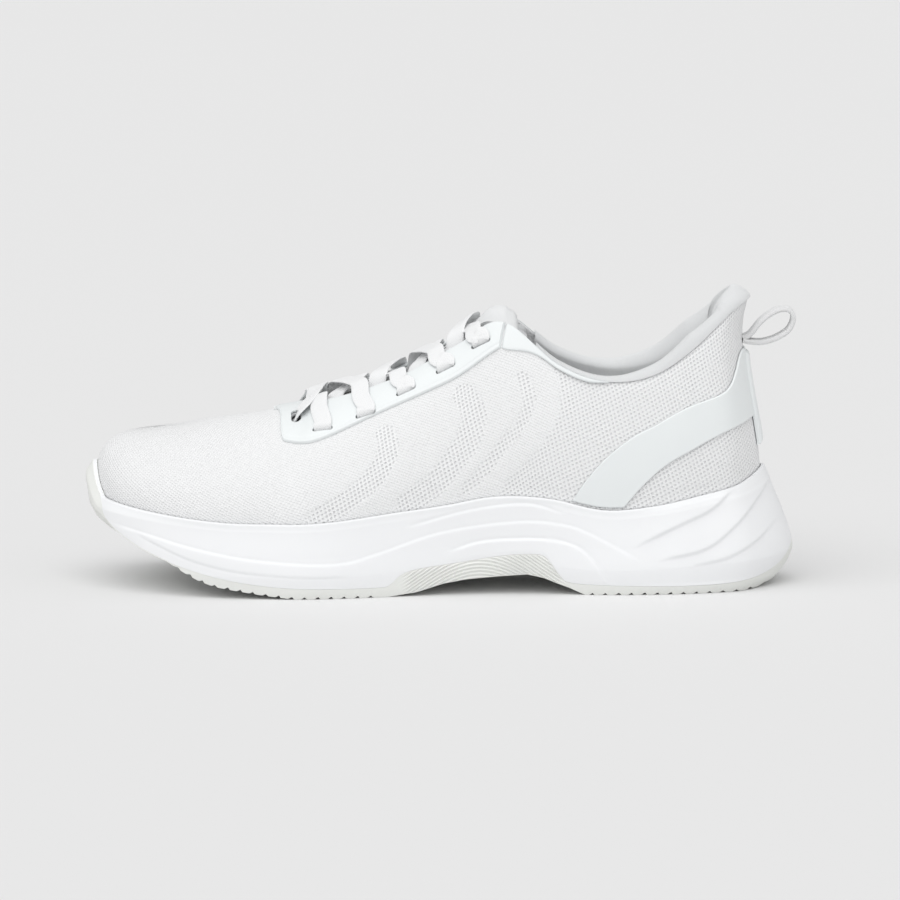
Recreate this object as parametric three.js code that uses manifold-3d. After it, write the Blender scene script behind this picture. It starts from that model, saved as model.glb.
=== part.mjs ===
// Left running shoe, in millimetres. -X is the toe, +X the heel, -Y the outer side, +Z up.
// The upper is a surface S(s, v): s runs round the shoe through stations, from the heel (0) along
// the outer side to the toe (TOE) and back along the inner side, and v runs up from the sole's rim (0)
// to the top edge (1), or down into the sole's cup (-1). Every layer is a slab at an offset from S.
import * as THREE from "three";
import { mergeVertices } from "three/addons/utils/BufferGeometryUtils.js";
import Module from "manifold-3d";

const wasm = await Module();
wasm.setup();

// ---- driving dimensions ----
const GAP = 0.35;
const KNIT = 1.4;
const LINING = 1.0;
const OVERLAY = 0.9;
const STIFFENER = 0.8;
const BACKER = 0.7;
const LACE_WIDTH = 6.4;
const LACE_THICK = 1.2;
const WEBBING_WIDTH = 10;
const WEBBING_THICK = 1.6;
const SOCKLINER = 4.5;
const BOARD = 1.2;
const LUG_PITCH = 5.4;
const LUG_DEPTH = 1.3;

// Offsets of the layers from S, counted outward.
const STRAP_IN = 0.45;
const STRAP_OUT = STRAP_IN + OVERLAY;
const STIFF_OUT = -(KNIT + GAP);
const STIFF_IN = STIFF_OUT - STIFFENER;
const LINING_OUT = STIFF_IN - GAP;
const LINING_IN = LINING_OUT - LINING;
const LACE_OVER = STRAP_OUT + GAP + LACE_THICK / 2;
const LACE_UNDER = STIFF_OUT - BACKER - GAP - LACE_THICK / 2;
const TONGUE_TOP = LACE_UNDER - LACE_THICK / 2 - GAP - 0.8;

// One row per station: foot (where the upper leaves the sole), rise and fall (handles of the girth curve
// at its foot and its top), top (top edge, or the ridge ahead of the throat), the foot's y on the inner
// side, and the height of the foot bed.
const STATIONS = [
  [[136, 0, 49.5], [0.5, 0, 17], [-9, 0, -17], [131.5, 0, 121], 0, 31.5],
  [[125.5, -24.5, 44.5], [1, -2.5, 17], [-4, -6, -17], [122, -18.5, 115.5], 23.5, 31],
  [[108, -33, 40.5], [0.5, -2.5, 18], [-2, -4.5, -17], [106, -27.5, 101.2], 31, 30.6],
  [[90, -36, 36.8], [0, -2, 18], [0, -4, -17], [89.4, -31, 91], 33, 30.2],
  [[69, -37, 35.3], [0, -1.5, 18], [0, -4.5, -17], [70, -32, 88.7], 33, 30],
  [[46, -36, 40], [0, -1, 18], [-2, -7, -18], [50, -27, 95.3], 31.5, 30],
  [[24, -36.5, 41], [0, -1, 26], [-5, -9, -16], [27, -17.5, 112], 30, 29],
  [[2, -39, 37.5], [0, -1, 25], [-5, -11, -12], [8.9, -15.5, 102.2], 31, 26.5],
  [[-20, -43, 34.8], [0, -1, 22], [-5, -13, -10], [-13, -15.7, 89.8], 36, 24.5],
  [[-40, -47, 32.2], [0, -1, 18], [-4, -14, -9], [-33, -16, 82.2], 41.5, 23],
  [[-56, -49, 31], [0, -1, 17], [-2, -17, -6], [-50, -12, 77.3], 45, 22.2],
  [[-70, -48.5, 31], [0, -1, 17], [0, -24, 0], [-58, 0, 75], 46.5, 22],
  [[-88, -46.5, 31.2], [0, -1, 17], [0, -24, 0], [-80, 0, 71.2], 46.5, 22.4],
  [[-106, -41.5, 32.6], [0, -1, 16], [0, -21, 0], [-97, 0, 69.1], 43, 23.8],
  [[-124, -33.5, 35], [-1.5, -2, 15], [-4, -17, 0], [-108, 0, 67], 37.5, 26.2],
  [[-138, -20.5, 37.4], [-2, -2, 16], [-12, -10, 0], [-115, 0, 66], 25.5, 29],
  [[-144.8, 2, 38.8], [-2.2, 0, 18.2], [-22, 0, -0.3], [-118, 0, 65.6], 2, 30.5],
].map(([foot, rise, fall, top, inner, bed]) => ({ foot, rise, fall, top, inner, bed }));
const TOE = STATIONS.length - 1;
const ROUND = 2 * TOE;
const THROAT = 11; // the station where the throat ends and the ridge starts

// Side outlines as [x, z] points.
const GROUND_TOE = [[-151, 46], [-149.2, 41.5], [-148.1, 34], [-145.4, 28.8], [-141.5, 25.2], [-135.5, 21.2],
  [-128.8, 17.4], [-122, 14], [-112, 10.2], [-103, 7.3], [-92.4, 4.6], [-72, 1.4], [-60, 0], [-21, 0]];
const GROUND_ARCH = [[-9, 1.6], [2, 4.9], [11, 6.4], [22, 7.3], [37, 8.4], [44, 6.9], [49, 4.9], [54.5, 3],
  [61, 0]];
const GROUND_HEEL = [[128, 0], [134, 0.3], [141, 2.5], [146, 7], [151, 13]];
const PARTING = [[-147, 53.5], [-145.3, 47.8], [-143.5, 41.5], [-142, 36], [-141, 32], [-138.4, 28.3],
  [-132.8, 24], [-125.5, 19.7], [-114.8, 15.2], [-105.5, 12], [-90, 8.2], [-71, 5.4], [-52, 4.4],
  [-25, 4.2], [-20, 5.6], [-12.5, 10.8], [9, 14], [27, 16.5], [41, 17], [46, 14.5], [51, 7.6], [56, 5],
  [76, 4], [103, 3.6], [122, 4.2], [136, 6.4], [145, 11.2], [151, 20]];
const FACING_EDGE = [[-75, 64.5], [-68.6, 63.7], [-58, 62.4], [-47, 65], [-25.4, 74.6], [-3.8, 84],
  [8.9, 90.3], [22, 99.5], [29.7, 103.6]];
const STRAP_TOP = [[52, 34], [55.5, 38.5], [61, 47], [69.5, 56.8], [80.5, 65.6], [90.2, 70.5], [103, 77.5],
  [116.9, 82.4], [121.6, 85.6], [124.2, 91], [126.5, 100], [140, 101]];
const STRAP_FOOT = [[72, 30], [77.1, 36], [84.7, 44.8], [94.5, 53.6], [106.3, 60.3], [119.5, 66.9],
  [131.8, 70.8], [140, 73]];
// Centres of the lace slits behind the throat's front, from the toe up.
const SLITS = [[-48.5, 67.8], [-30.5, 73.8], [-13.6, 83.1], [3, 92.5], [17.8, 103]];
const FRONT_SLOT = [-60, 71.2];

// Outward steps of the sole's wall from the upper's foot, at WALL_HEIGHTS of the rim's height.
const WALL_HEIGHTS = [1, 0.9, 0.55, 0.3, 0.1, -0.08];
const WALLS = [
  [0, [1.7, 3.8, 10.5, 13.8, 9.5, 2]],
  [1, [1.7, 3.4, 8, 10, 7.5, 3]],
  [2, [1.8, 3, 6, 7.5, 6, 3]],
  [4, [1.8, 2.4, 4.5, 6, 5.2, 3.5]],
  [6, [1.8, 2.2, 3, 3.5, 2.5, 1.5]],
  [8, [1.8, 2.2, 3.6, 4.5, 3.8, 2.5]],
  [10, [1.8, 2.4, 4.5, 5.8, 5, 3.5]],
  [13, [1.8, 2.4, 4.5, 5, 4, 3]],
  [15, [1.9, 4, 4.4, 4, 2, 0]],
  [TOE, [1.9, 4.6, 3.6, 2, 0, -2]],
];

// ---- small vector and curve helpers ----
const vec = (x, y, z) => new THREE.Vector3(x, y, z);
const mix = (a, b, t) => a + (b - a) * t;
const smooth = (t) => THREE.MathUtils.smoothstep(t, 0, 1);
const parallel = (count, from, to) => Array.from({ length: count + 1 }, (_, i) => mix(from, to, i / count));

// The y value of a polyline of [x, y] points at x.
function along(points, x) {
  let i = 1;
  while (i < points.length - 1 && points[i][0] < x) i += 1;
  const [x0, y0] = points[i - 1];
  const [x1, y1] = points[i];
  return mix(y0, y1, (x - x0) / (x1 - x0));
}

function catmull(a, b, c, d, t) {
  const m0 = (c - a) / 2;
  const m1 = (d - b) / 2;
  const t2 = t * t;
  const t3 = t2 * t;
  return b * (2 * t3 - 3 * t2 + 1) + m0 * (t3 - 2 * t2 + t) + c * (3 * t2 - 2 * t3) + m1 * (t3 - t2);
}

// A smooth value at station k of a table of [station, value] rows. The table is mirrored at both ends,
// so the value has no kink at the heel or the toe.
function smoothAlong(table, k) {
  const last = table.length - 1;
  let i = 0;
  while (i < last - 1 && table[i + 1][0] < k) i += 1;
  const [x0, y0] = table[i];
  const [x1, y1] = table[i + 1];
  const t = (k - x0) / (x1 - x0);
  const slope = (n) => {
    if (n <= 0 || n >= last) return 0;
    return (table[n + 1][1] - table[n - 1][1]) / (table[n + 1][0] - table[n - 1][0]);
  };
  const m0 = slope(i) * (x1 - x0);
  const m1 = slope(i + 1) * (x1 - x0);
  return catmull(y1 - 2 * m0, y0, y1, y0 + 2 * m1, t);
}

// One key of station number k, on the side that the round position says.
function stationVector(k, key) {
  const n = ((k % ROUND) + ROUND) % ROUND;
  const isInner = n > TOE;
  const row = STATIONS[isInner ? ROUND - n : n];
  const [x, y, z] = row[key];
  if (!isInner || n === 0) return [x, y, z];
  return [x, key === "foot" ? row.inner : -y, z];
}

function guide(s, key) {
  const k = Math.floor(s);
  const rows = [-1, 0, 1, 2].map((i) => stationVector(k + i, key));
  const at = (axis) => catmull(rows[0][axis], rows[1][axis], rows[2][axis], rows[3][axis], s - k);
  return vec(at(0), at(1), at(2));
}

const foldedStation = (s) => {
  const n = ((s % ROUND) + ROUND) % ROUND;
  return n > TOE ? ROUND - n : n;
};
const isRidge = (s) => foldedStation(s) >= THROAT - 1e-6;

function topOf(s) {
  const point = guide(s, "top");
  if (isRidge(s)) {
    const other = guide(ROUND - s, "top");
    return vec((point.x + other.x) / 2, 0, (point.z + other.z) / 2);
  }
  return point;
}

function bedOf(s) {
  const k = foldedStation(s);
  const i = Math.min(Math.floor(k), TOE - 1);
  const bed = (n) => STATIONS[THREE.MathUtils.clamp(n, 0, TOE)].bed;
  return catmull(bed(i - 1), bed(i), bed(i + 1), bed(i + 2), k - i);
}

// The upper's outer surface as a smooth formula.
function upperPoint(s, v) {
  const foot = guide(s, "foot");
  if (v < 0) {
    const low = vec(foot.x * 0.985, foot.y * 0.94, bedOf(s));
    return foot.lerp(low, -v);
  }
  const top = topOf(s);
  const a = foot.clone().add(guide(s, "rise"));
  const b = top.clone().add(guide(s, "fall"));
  return new THREE.CubicBezierCurve3(foot, a, b, top).getPoint(v);
}

// Its outward normal, by small steps.
function upperNormal(s, v) {
  if (v > 0.999 && isRidge(s)) {
    const k = foldedStation(s);
    const t = topOf(Math.max(THROAT, k - 0.5)).sub(topOf(Math.min(TOE, k + 0.5)));
    return vec(-t.z, 0, t.x).normalize();
  }
  const step = 0.02;
  const low = v < 0 ? -1 : 0;
  const du = upperPoint(s + step, v).sub(upperPoint(s - step, v));
  const dv = upperPoint(s, Math.min(v + step, 1)).sub(upperPoint(s, Math.max(v - step, low)));
  return dv.cross(du).normalize();
}

// All layers share one lattice of flat cells, so that neighbouring layers stay parallel.
// Its columns are closer together round the heel and the toe.
const HALF_COLUMNS = [
  0, 0.25, 0.5, 0.75, ...parallel(2 * (TOE - 2), 1, TOE - 1), TOE - 0.75, TOE - 0.5, TOE - 0.25,
];
const COLUMNS = [...HALF_COLUMNS, TOE, ...HALF_COLUMNS.map((s) => ROUND - s).reverse()];
const ROWS = [-1, 0, 0.1, 0.2, 0.3, 0.4, 0.5, 0.6, 0.7, 0.8, 0.9, 1];
const latticeOf = (f) => COLUMNS.map((s) => ROWS.map((v) => f(s, v)));
const POINTS = latticeOf(upperPoint);
const NORMALS = latticeOf(upperNormal);

function onLattice(lattice, s, v) {
  const column = ((s % ROUND) + ROUND) % ROUND;
  let i = 0;
  while (i < COLUMNS.length - 2 && COLUMNS[i + 1] <= column) i += 1;
  let j = 0;
  while (j < ROWS.length - 2 && ROWS[j + 1] <= v) j += 1;
  const a = (column - COLUMNS[i]) / (COLUMNS[i + 1] - COLUMNS[i]);
  const b = (v - ROWS[j]) / (ROWS[j + 1] - ROWS[j]);
  const low = lattice[i][j].clone().lerp(lattice[i + 1][j], a);
  const high = lattice[i][j + 1].clone().lerp(lattice[i + 1][j + 1], a);
  return low.lerp(high, b);
}

const S = (s, v) => onLattice(POINTS, s, v);
const N = (s, v) => onLattice(NORMALS, s, v).normalize();

const out = (s, v, d) => S(s, v).addScaledVector(N(s, v), d);

// Horizontal outward direction of the foot line.
function outwardAt(s) {
  const t = guide(s + 0.02, "foot").sub(guide(s - 0.02, "foot"));
  return vec(t.y, -t.x, 0).normalize().negate();
}

// v where the column s crosses the side outline z = edge(x).
function crossing(s, edge) {
  const above = (v) => {
    const p = S(s, v);
    return p.z - along(edge, p.x);
  };
  if (above(0) > 0) return 0;
  if (above(1) < 0) return 1;
  let low = 0;
  let high = 1;
  for (let i = 0; i < 24; i += 1) {
    const mid = (low + high) / 2;
    if (above(mid) > 0) high = mid;
    else low = mid;
  }
  return (low + high) / 2;
}

// [s, v] of the outer side's point at x, z.
function locate([x, z]) {
  let low = 0;
  let high = TOE;
  const level = [[-200, z], [200, z]];
  for (let i = 0; i < 24; i += 1) {
    const mid = (low + high) / 2;
    if (S(mid, crossing(mid, level)).x > x) low = mid;
    else high = mid;
  }
  return [low, crossing(low, level)];
}

// ---- mesh helpers ----
class Shell {
  constructor() {
    this.points = [];
    this.keys = new Map();
    this.faces = [];
  }
  add(p) {
    const key = [p.x, p.y, p.z].map((n) => Math.round(n * 1000)).join();
    if (!this.keys.has(key)) {
      this.keys.set(key, this.points.length);
      this.points.push(p);
    }
    return this.keys.get(key);
  }
  face(a, b, c) {
    if (a !== b && b !== c && a !== c) this.faces.push([a, b, c]);
  }
  quad(a, b, c, d) {
    this.face(a, b, c);
    this.face(a, c, d);
  }
  geometry() {
    const g = new THREE.BufferGeometry();
    const numbers = this.points.flatMap((p) => [p.x, p.y, p.z]);
    g.setAttribute("position", new THREE.Float32BufferAttribute(numbers, 3));
    g.setIndex(this.faces.flat());
    return g;
  }
}

// The ends of a stretch of s, with the lattice's columns between them.
function columnsFrom(from, to) {
  const around = [...COLUMNS.map((s) => s - ROUND), ...COLUMNS.slice(1)];
  return [from, ...around.filter((s) => s > from + 0.02 && s < to - 0.02), to];
}

// A closed slab over surface(s, v) between two offsets along its normal, on a grid of columns and
// rows, where each column keeps the rows between low(s) and high(s).
function slab({
  surface = S, normal = N, columns, rows = ROWS, low = () => -1, high = () => 1, inside, outside,
}) {
  const sheet = new Shell();
  const depth = (d, s, v) => (typeof d === "function" ? d(s, v) : d);
  const sides = [];
  const grid = columns.map((s) =>
    rows.map((row) => {
      const v = Math.min(Math.max(row, low(s)), high(s));
      const id = sheet.add(surface(s, v));
      if (!sides[id]) {
        const n = normal(s, v);
        const p = sheet.points[id];
        sides[id] = [
          p.clone().addScaledVector(n, depth(inside, s, v)),
          p.clone().addScaledVector(n, depth(outside, s, v)),
        ];
      }
      return id;
    }),
  );
  for (let i = 0; i + 1 < columns.length; i += 1)
    for (let j = 0; j + 1 < rows.length; j += 1)
      sheet.quad(grid[i][j], grid[i][j + 1], grid[i + 1][j + 1], grid[i + 1][j]);
  const solid = new Shell();
  const inner = sides.map(([p]) => solid.add(p));
  const outer = sides.map(([, p]) => solid.add(p));
  const used = new Set(sheet.faces.flatMap(([a, b, c]) => [`${a},${b}`, `${b},${c}`, `${c},${a}`]));
  for (const [a, b, c] of sheet.faces) {
    solid.face(outer[a], outer[b], outer[c]);
    solid.face(inner[a], inner[c], inner[b]);
    for (const [p, q] of [[a, b], [b, c], [c, a]])
      if (!used.has(`${q},${p}`)) solid.quad(outer[q], outer[p], inner[p], inner[q]);
  }
  return solid.geometry();
}

// A closed solid from rings of equal length round the shoe: the first and last rings are capped by
// strips across it, from each point to its twin on the other side.
function ringLoft(rings) {
  const solid = new Shell();
  const ids = rings.map((ring) => ring.map((p) => solid.add(p)));
  const count = ids[0].length;
  const half = count / 2;
  for (let r = 0; r + 1 < ids.length; r += 1)
    for (let i = 0; i < count; i += 1) {
      const j = (i + 1) % count;
      solid.quad(ids[r][i], ids[r][j], ids[r + 1][j], ids[r + 1][i]);
    }
  const cap = (ring, flip) => {
    for (let i = 0; i < half; i += 1) {
      const quad = [ring[i], ring[(count - i) % count], ring[count - i - 1], ring[i + 1]];
      if (flip) quad.reverse();
      solid.quad(...quad);
    }
  };
  cap(ids[0], false);
  cap(ids[ids.length - 1], true);
  return solid.geometry();
}

// A closed solid swept through sections, each a ring of points, with fans at both ends.
function sweep(sections) {
  const solid = new Shell();
  const ids = sections.map((ring) => ring.map((p) => solid.add(p)));
  const count = ids[0].length;
  for (let r = 0; r + 1 < ids.length; r += 1)
    for (let i = 0; i < count; i += 1) {
      const j = (i + 1) % count;
      solid.quad(ids[r][i], ids[r][j], ids[r + 1][j], ids[r + 1][i]);
    }
  const first = ids[0];
  const last = ids[ids.length - 1];
  for (let i = 1; i + 1 < count; i += 1) {
    solid.face(first[0], first[i + 1], first[i]);
    solid.face(last[0], last[i], last[i + 1]);
  }
  return solid.geometry();
}

function solidOf(geometry) {
  const g = geometry.clone();
  g.deleteAttribute("normal");
  g.deleteAttribute("uv");
  const merged = mergeVertices(g, 1e-3);
  const made = new wasm.Manifold(
    new wasm.Mesh({
      numProp: 3,
      vertProperties: merged.attributes.position.array,
      triVerts: new Uint32Array(merged.index.array),
    }),
  );
  return made;
}

function geometryOf(solid) {
  const mesh = solid.getMesh();
  const g = new THREE.BufferGeometry();
  g.setAttribute("position", new THREE.BufferAttribute(new Float32Array(mesh.vertProperties), 3));
  g.setIndex(new THREE.BufferAttribute(new Uint32Array(mesh.triVerts), 1));
  return g;
}

// A side outline of [x, z] points extruded across the shoe.
function prism(outline, halfWidth = 80) {
  const shape = new THREE.Shape(outline.map(([x, z]) => new THREE.Vector2(x, z)));
  const g = new THREE.ExtrudeGeometry(shape, { depth: 2 * halfWidth, bevelEnabled: false });
  return g.rotateX(Math.PI / 2).translate(0, halfWidth, 0);
}

// Turns the faces round where they point inwards.
function facingOut(geometry) {
  const at = (i) => new THREE.Vector3().fromBufferAttribute(geometry.attributes.position, i);
  const index = geometry.index.array;
  let volume = 0;
  for (let i = 0; i < index.length; i += 3)
    volume += at(index[i]).dot(at(index[i + 1]).cross(at(index[i + 2])));
  if (volume < 0)
    for (let i = 0; i < index.length; i += 3) [index[i + 1], index[i + 2]] = [index[i + 2], index[i + 1]];
  return geometry;
}

const group = new THREE.Group();

function addMesh(name, geometry, { color, roughness = 0.85, metalness = 0 }) {
  const material = new THREE.MeshStandardMaterial({ color, roughness, metalness });
  const mesh = new THREE.Mesh(facingOut(geometry), material);
  mesh.name = name;
  group.add(mesh);
  return mesh;
}

const WHITE_KNIT = { color: 0xefefed, roughness: 0.95 };
const WHITE_FABRIC = { color: 0xeeefee, roughness: 0.9 };
const WHITE_SYNTHETIC = { color: 0xf0f2f2, roughness: 0.5 };
const WHITE_FOAM = { color: 0xf3f4f6, roughness: 0.6 };
const CREAM_RUBBER = { color: 0xe9ebe4, roughness: 0.55 };
const BOARD_FIBRE = { color: 0xdedcd4, roughness: 0.95 };

// ---- sole ----
const SOLE_COLUMNS = COLUMNS.slice(0, -1);
const CUP_GAP = 0.5;

const rimV = (s) => 0.27 * smooth(1 - Math.abs(s - TOE) / 0.9);

function wallStep(s, level) {
  const k = foldedStation(s);
  return smoothAlong(WALLS.map(([station, steps]) => [station, steps[level]]), k);
}

function soleRing(level) {
  return SOLE_COLUMNS.map((s) => {
    const rim = S(s, rimV(s));
    const base = level === 0 ? rim : S(s, 0);
    const p = base.clone().addScaledVector(outwardAt(s), GAP + wallStep(s, level));
    p.z = rim.z * WALL_HEIGHTS[level];
    return p;
  });
}

function soleBlank() {
  const floor = SOLE_COLUMNS.map((s) => {
    const p = out(s, -1, CUP_GAP);
    p.z = bedOf(s) - GAP;
    return p;
  });
  const cup = [0, 0.34, 0.67, 1].map((part) =>
    SOLE_COLUMNS.map((s) => out(s, part * rimV(s), CUP_GAP).add(vec(0, 0, 0.03 * part))),
  );
  const walls = WALL_HEIGHTS.map((_, level) => soleRing(level));
  return solidOf(ringLoft([floor, ...cup, ...walls]));
}

// The ground outline with lug teeth over the stretch from x0 to x1.
function teeth(outline, x0, x1) {
  const points = [];
  const count = Math.floor((x1 - x0) / LUG_PITCH);
  for (let i = 0; i < count; i += 1) {
    const x = x0 + i * LUG_PITCH;
    const cut = x + LUG_PITCH * 0.62;
    points.push([x, along(outline, x)]);
    points.push([cut, along(outline, cut)]);
    points.push([cut + 0.5, along(outline, cut + 0.5) + LUG_DEPTH]);
    points.push([x + LUG_PITCH - 0.2, along(outline, x + LUG_PITCH - 0.2) + LUG_DEPTH]);
  }
  return points;
}

function groundOutline() {
  const whole = [...GROUND_TOE, ...GROUND_ARCH, ...GROUND_HEEL];
  const [foreFrom, foreTo] = [-116, -24];
  const [heelFrom, heelTo] = [62, 138];
  return [
    ...GROUND_TOE.filter(([x]) => x < foreFrom),
    ...teeth(whole, foreFrom, foreTo),
    [-21, 0],
    ...GROUND_ARCH,
    ...teeth(whole, heelFrom, heelTo),
    ...GROUND_HEEL.filter(([x]) => x > heelTo),
  ];
}

// An open outline moved to its left by d.
function movedLine(points, d) {
  return points.map(([x, z], i) => {
    const [x0, z0] = points[Math.max(i - 1, 0)];
    const [x1, z1] = points[Math.min(i + 1, points.length - 1)];
    const length = Math.hypot(x1 - x0, z1 - z0);
    return [x - (d * (z1 - z0)) / length, z + (d * (x1 - x0)) / length];
  });
}

function addSole() {
  const blank = soleBlank();
  const half = GAP / 2;
  const above = [...movedLine(PARTING, half), [160, 90], [-146, 90]];
  const behind = [[160, 20], [160, 13]];
  const ahead = [[-160, 46], [-160, 54]];
  const below = [...movedLine(PARTING, -half), ...behind, ...groundOutline().reverse(), ...ahead];
  const midsole = blank.intersect(solidOf(prism(above)));
  const outsole = blank.intersect(solidOf(prism(below)));
  addMesh("midsole", geometryOf(midsole), WHITE_FOAM);
  addMesh("outsole", geometryOf(outsole), CREAM_RUBBER);
}

// ---- inside the shoe ----
// A plate on the foot bed, inset from the cup, between two heights above the bed.
function bedPlate(inset, from, to) {
  const ring = (height) =>
    parallel(3 * TOE - (3 * TOE) % 2, 0, ROUND).slice(0, -1).map((s) => {
      const p = S(s, -1).addScaledVector(outwardAt(s), -inset);
      p.z = bedOf(s) + height;
      return p;
    });
  return ringLoft([ring(to), ring(from)]);
}

function addBed() {
  const inset = 0.6 - LINING_IN;
  addMesh("strobel_board", bedPlate(inset, 0.2, 0.2 + BOARD), BOARD_FIBRE);
  const low = 0.2 + BOARD + GAP;
  addMesh("sockliner", bedPlate(inset + 0.4, low, low + SOCKLINER), WHITE_FABRIC);
}

// ---- upper ----
const both = (from, to) => [columnsFrom(from, to), columnsFrom(ROUND - to, ROUND - from)];
const slits = SLITS.map(locate);
const frontSlot = locate(FRONT_SLOT);

// The tool that cuts one slit: a block along the surface normal, with its long side along the throat.
function slitBlock(s, v, length, width, turned) {
  const n = N(s, v);
  const run = S(s + 0.05, v).sub(S(s - 0.05, v)).normalize();
  const side = n.clone().cross(run).normalize();
  const box = turned ? new THREE.BoxGeometry(width, length, 12) : new THREE.BoxGeometry(length, width, 12);
  const basis = new THREE.Matrix4().makeBasis(run, side, n);
  box.applyMatrix4(basis.setPosition(S(s, v)));
  return solidOf(box);
}

function cutSlits(solid) {
  let left = solid;
  for (const mirrored of [false, true]) {
    const place = (s) => (mirrored ? ROUND - s : s);
    for (const [s, v] of slits) left = left.subtract(slitBlock(place(s), v, LACE_WIDTH + 1.6, 3.4, false));
    const [s, v] = frontSlot;
    left = left.subtract(slitBlock(place(s), v, LACE_WIDTH + 2.4, 4.8, true));
  }
  return left;
}

function addKnit() {
  const shell = slab({
    columns: columnsFrom(0, ROUND),
    low: () => -0.94,
    inside: -KNIT,
    outside: 0,
  });
  addMesh("knit_upper", geometryOf(cutSlits(solidOf(shell))), WHITE_KNIT);
}

function addStiffeners() {
  const counter = slab({
    columns: columnsFrom(-3.2, 3.2),
    low: () => -0.9,
    high: (s) => 0.34 - 0.02 * s * s,
    inside: STIFF_IN,
    outside: STIFF_OUT,
  });
  addMesh("heel_counter", counter, BOARD_FIBRE);
  const puff = slab({
    columns: columnsFrom(TOE - 2.4, TOE + 2.4),
    low: () => -0.9,
    high: () => 0.82,
    inside: STIFF_IN,
    outside: STIFF_OUT,
  });
  addMesh("toe_puff", puff, BOARD_FIBRE);
}

const REAR_LINING_END = 5.4;

function addVampLining() {
  const high = (s) => mix(0.62, 1, smooth((foldedStation(s) - 11.4) / 0.9));
  const shell = slab({
    columns: columnsFrom(REAR_LINING_END + 0.15, ROUND - REAR_LINING_END - 0.15),
    low: () => -0.88,
    high,
    inside: LINING_IN,
    outside: LINING_OUT,
  });
  addMesh("vamp_lining", shell, WHITE_FABRIC);
}

// ---- padded collar ----
// Crest height above the knit's edge, and pad thickness, by station.
const CREST = [[0, 2.1], [1, 5.2], [2, 8], [3, 5.2], [4, 2.8], [5, 2.4], [6, 2.2]];
const PAD = [[0, 9], [1, 9.5], [2, 9], [3, 8], [4, 6.5], [5, 5.4], [6, 5]];
const padStart = 0.3;

function padDepth(s, v) {
  const t = smooth((v - padStart) / (1 - padStart));
  return mix(-LINING_IN, smoothAlong(PAD, Math.abs(s)), t);
}

// The lining's face: w up to 1 is v inside the shoe, and w from 1 to 2 goes over the crest, half an
// ellipse that ends just above the knit's edge.
function collarFace(s, w) {
  if (w <= 1) return out(s, w, -padDepth(s, w));
  const angle = Math.PI * (w - 1);
  const edge = S(s, 1);
  const inner = out(s, 1, -padDepth(s, 1));
  const centre = edge.clone().lerp(inner, 0.5);
  const half = edge.clone().sub(centre);
  const rise = smoothAlong(CREST, Math.abs(s));
  return centre
    .addScaledVector(half, -Math.cos(angle))
    .add(vec(0, 0, Math.sin(angle) * rise + 0.6));
}

function collarNormal(s, w) {
  const clampW = (t) => Math.min(Math.max(t, -1), 2);
  const du = collarFace(s + 0.25, w).sub(collarFace(s - 0.25, w));
  const dw = collarFace(s, clampW(w + 0.05)).sub(collarFace(s, clampW(w - 0.05)));
  return du.cross(dw).normalize();
}

const CREST_ROWS = parallel(6, 1, 2).slice(1);

function addCollarLining() {
  const shell = slab({
    surface: collarFace,
    normal: (s, w) => collarNormal(s, w).negate(),
    columns: columnsFrom(-REAR_LINING_END, REAR_LINING_END),
    rows: [...ROWS, ...CREST_ROWS],
    low: () => -0.88,
    high: () => 2,
    inside: 0,
    outside: LINING,
  });
  addMesh("collar_lining", shell, WHITE_FABRIC);
}

function addCollarFoam() {
  const skin = LINING + GAP + 0.4;
  const end = REAR_LINING_END - 0.55;
  const behind = (s, w) => collarFace(s, w).addScaledVector(collarNormal(s, w), -skin);
  const heights = ROWS.filter((v) => v > 0.45);
  const sections = columnsFrom(-end, end).map((s) => {
    const outer = heights.map((v) => out(s, v, -KNIT - GAP - 0.4));
    const crest = CREST_ROWS.slice(0, -1).reverse().map((w) => behind(s, w));
    const inner = [...heights].reverse().map((w) => behind(s, w));
    return [...outer, ...crest, ...inner];
  });
  addMesh("collar_foam", sweep(sections), WHITE_FOAM);
}

function addBindings() {
  const [outer, inner] = both(3.9, 5.9);
  for (const [name, columns] of [["collar_binding_lateral", outer], ["collar_binding_medial", inner]]) {
    const strip = slab({
      columns,
      low: () => 0.91,
      high: () => 0.995,
      inside: STRAP_IN,
      outside: STRAP_OUT,
    });
    addMesh(name, strip, WHITE_SYNTHETIC);
  }
}

// ---- lace facing ----
function addFacing() {
  const front = 11.55;
  const start = 6.05;
  const edge = (s) => {
    const k = foldedStation(s);
    const round = smooth((k - (front - 0.5)) / 0.5);
    return mix(crossing(k, FACING_EDGE), 0.985, round * round);
  };
  const outer = [...columnsFrom(start, front - 0.6), ...parallel(6, front - 0.5, front)];
  const columns = [...outer, ...outer.map((s) => ROUND - s).reverse()];
  const shell = slab({
    columns,
    low: edge,
    high: () => 1,
    inside: STRAP_IN,
    outside: STRAP_OUT,
  });
  addMesh("lace_facing", geometryOf(cutSlits(solidOf(shell))), WHITE_SYNTHETIC);
  const [near, far] = both(6.2, 10.6);
  for (const [name, stretch] of [["eyelet_backer_lateral", near], ["eyelet_backer_medial", far]]) {
    const strip = slab({
      columns: stretch,
      low: () => 0.69,
      high: () => 0.95,
      inside: STIFF_OUT - BACKER,
      outside: STIFF_OUT,
    });
    addMesh(name, geometryOf(cutSlits(solidOf(strip))), BOARD_FIBRE);
  }
}

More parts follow.
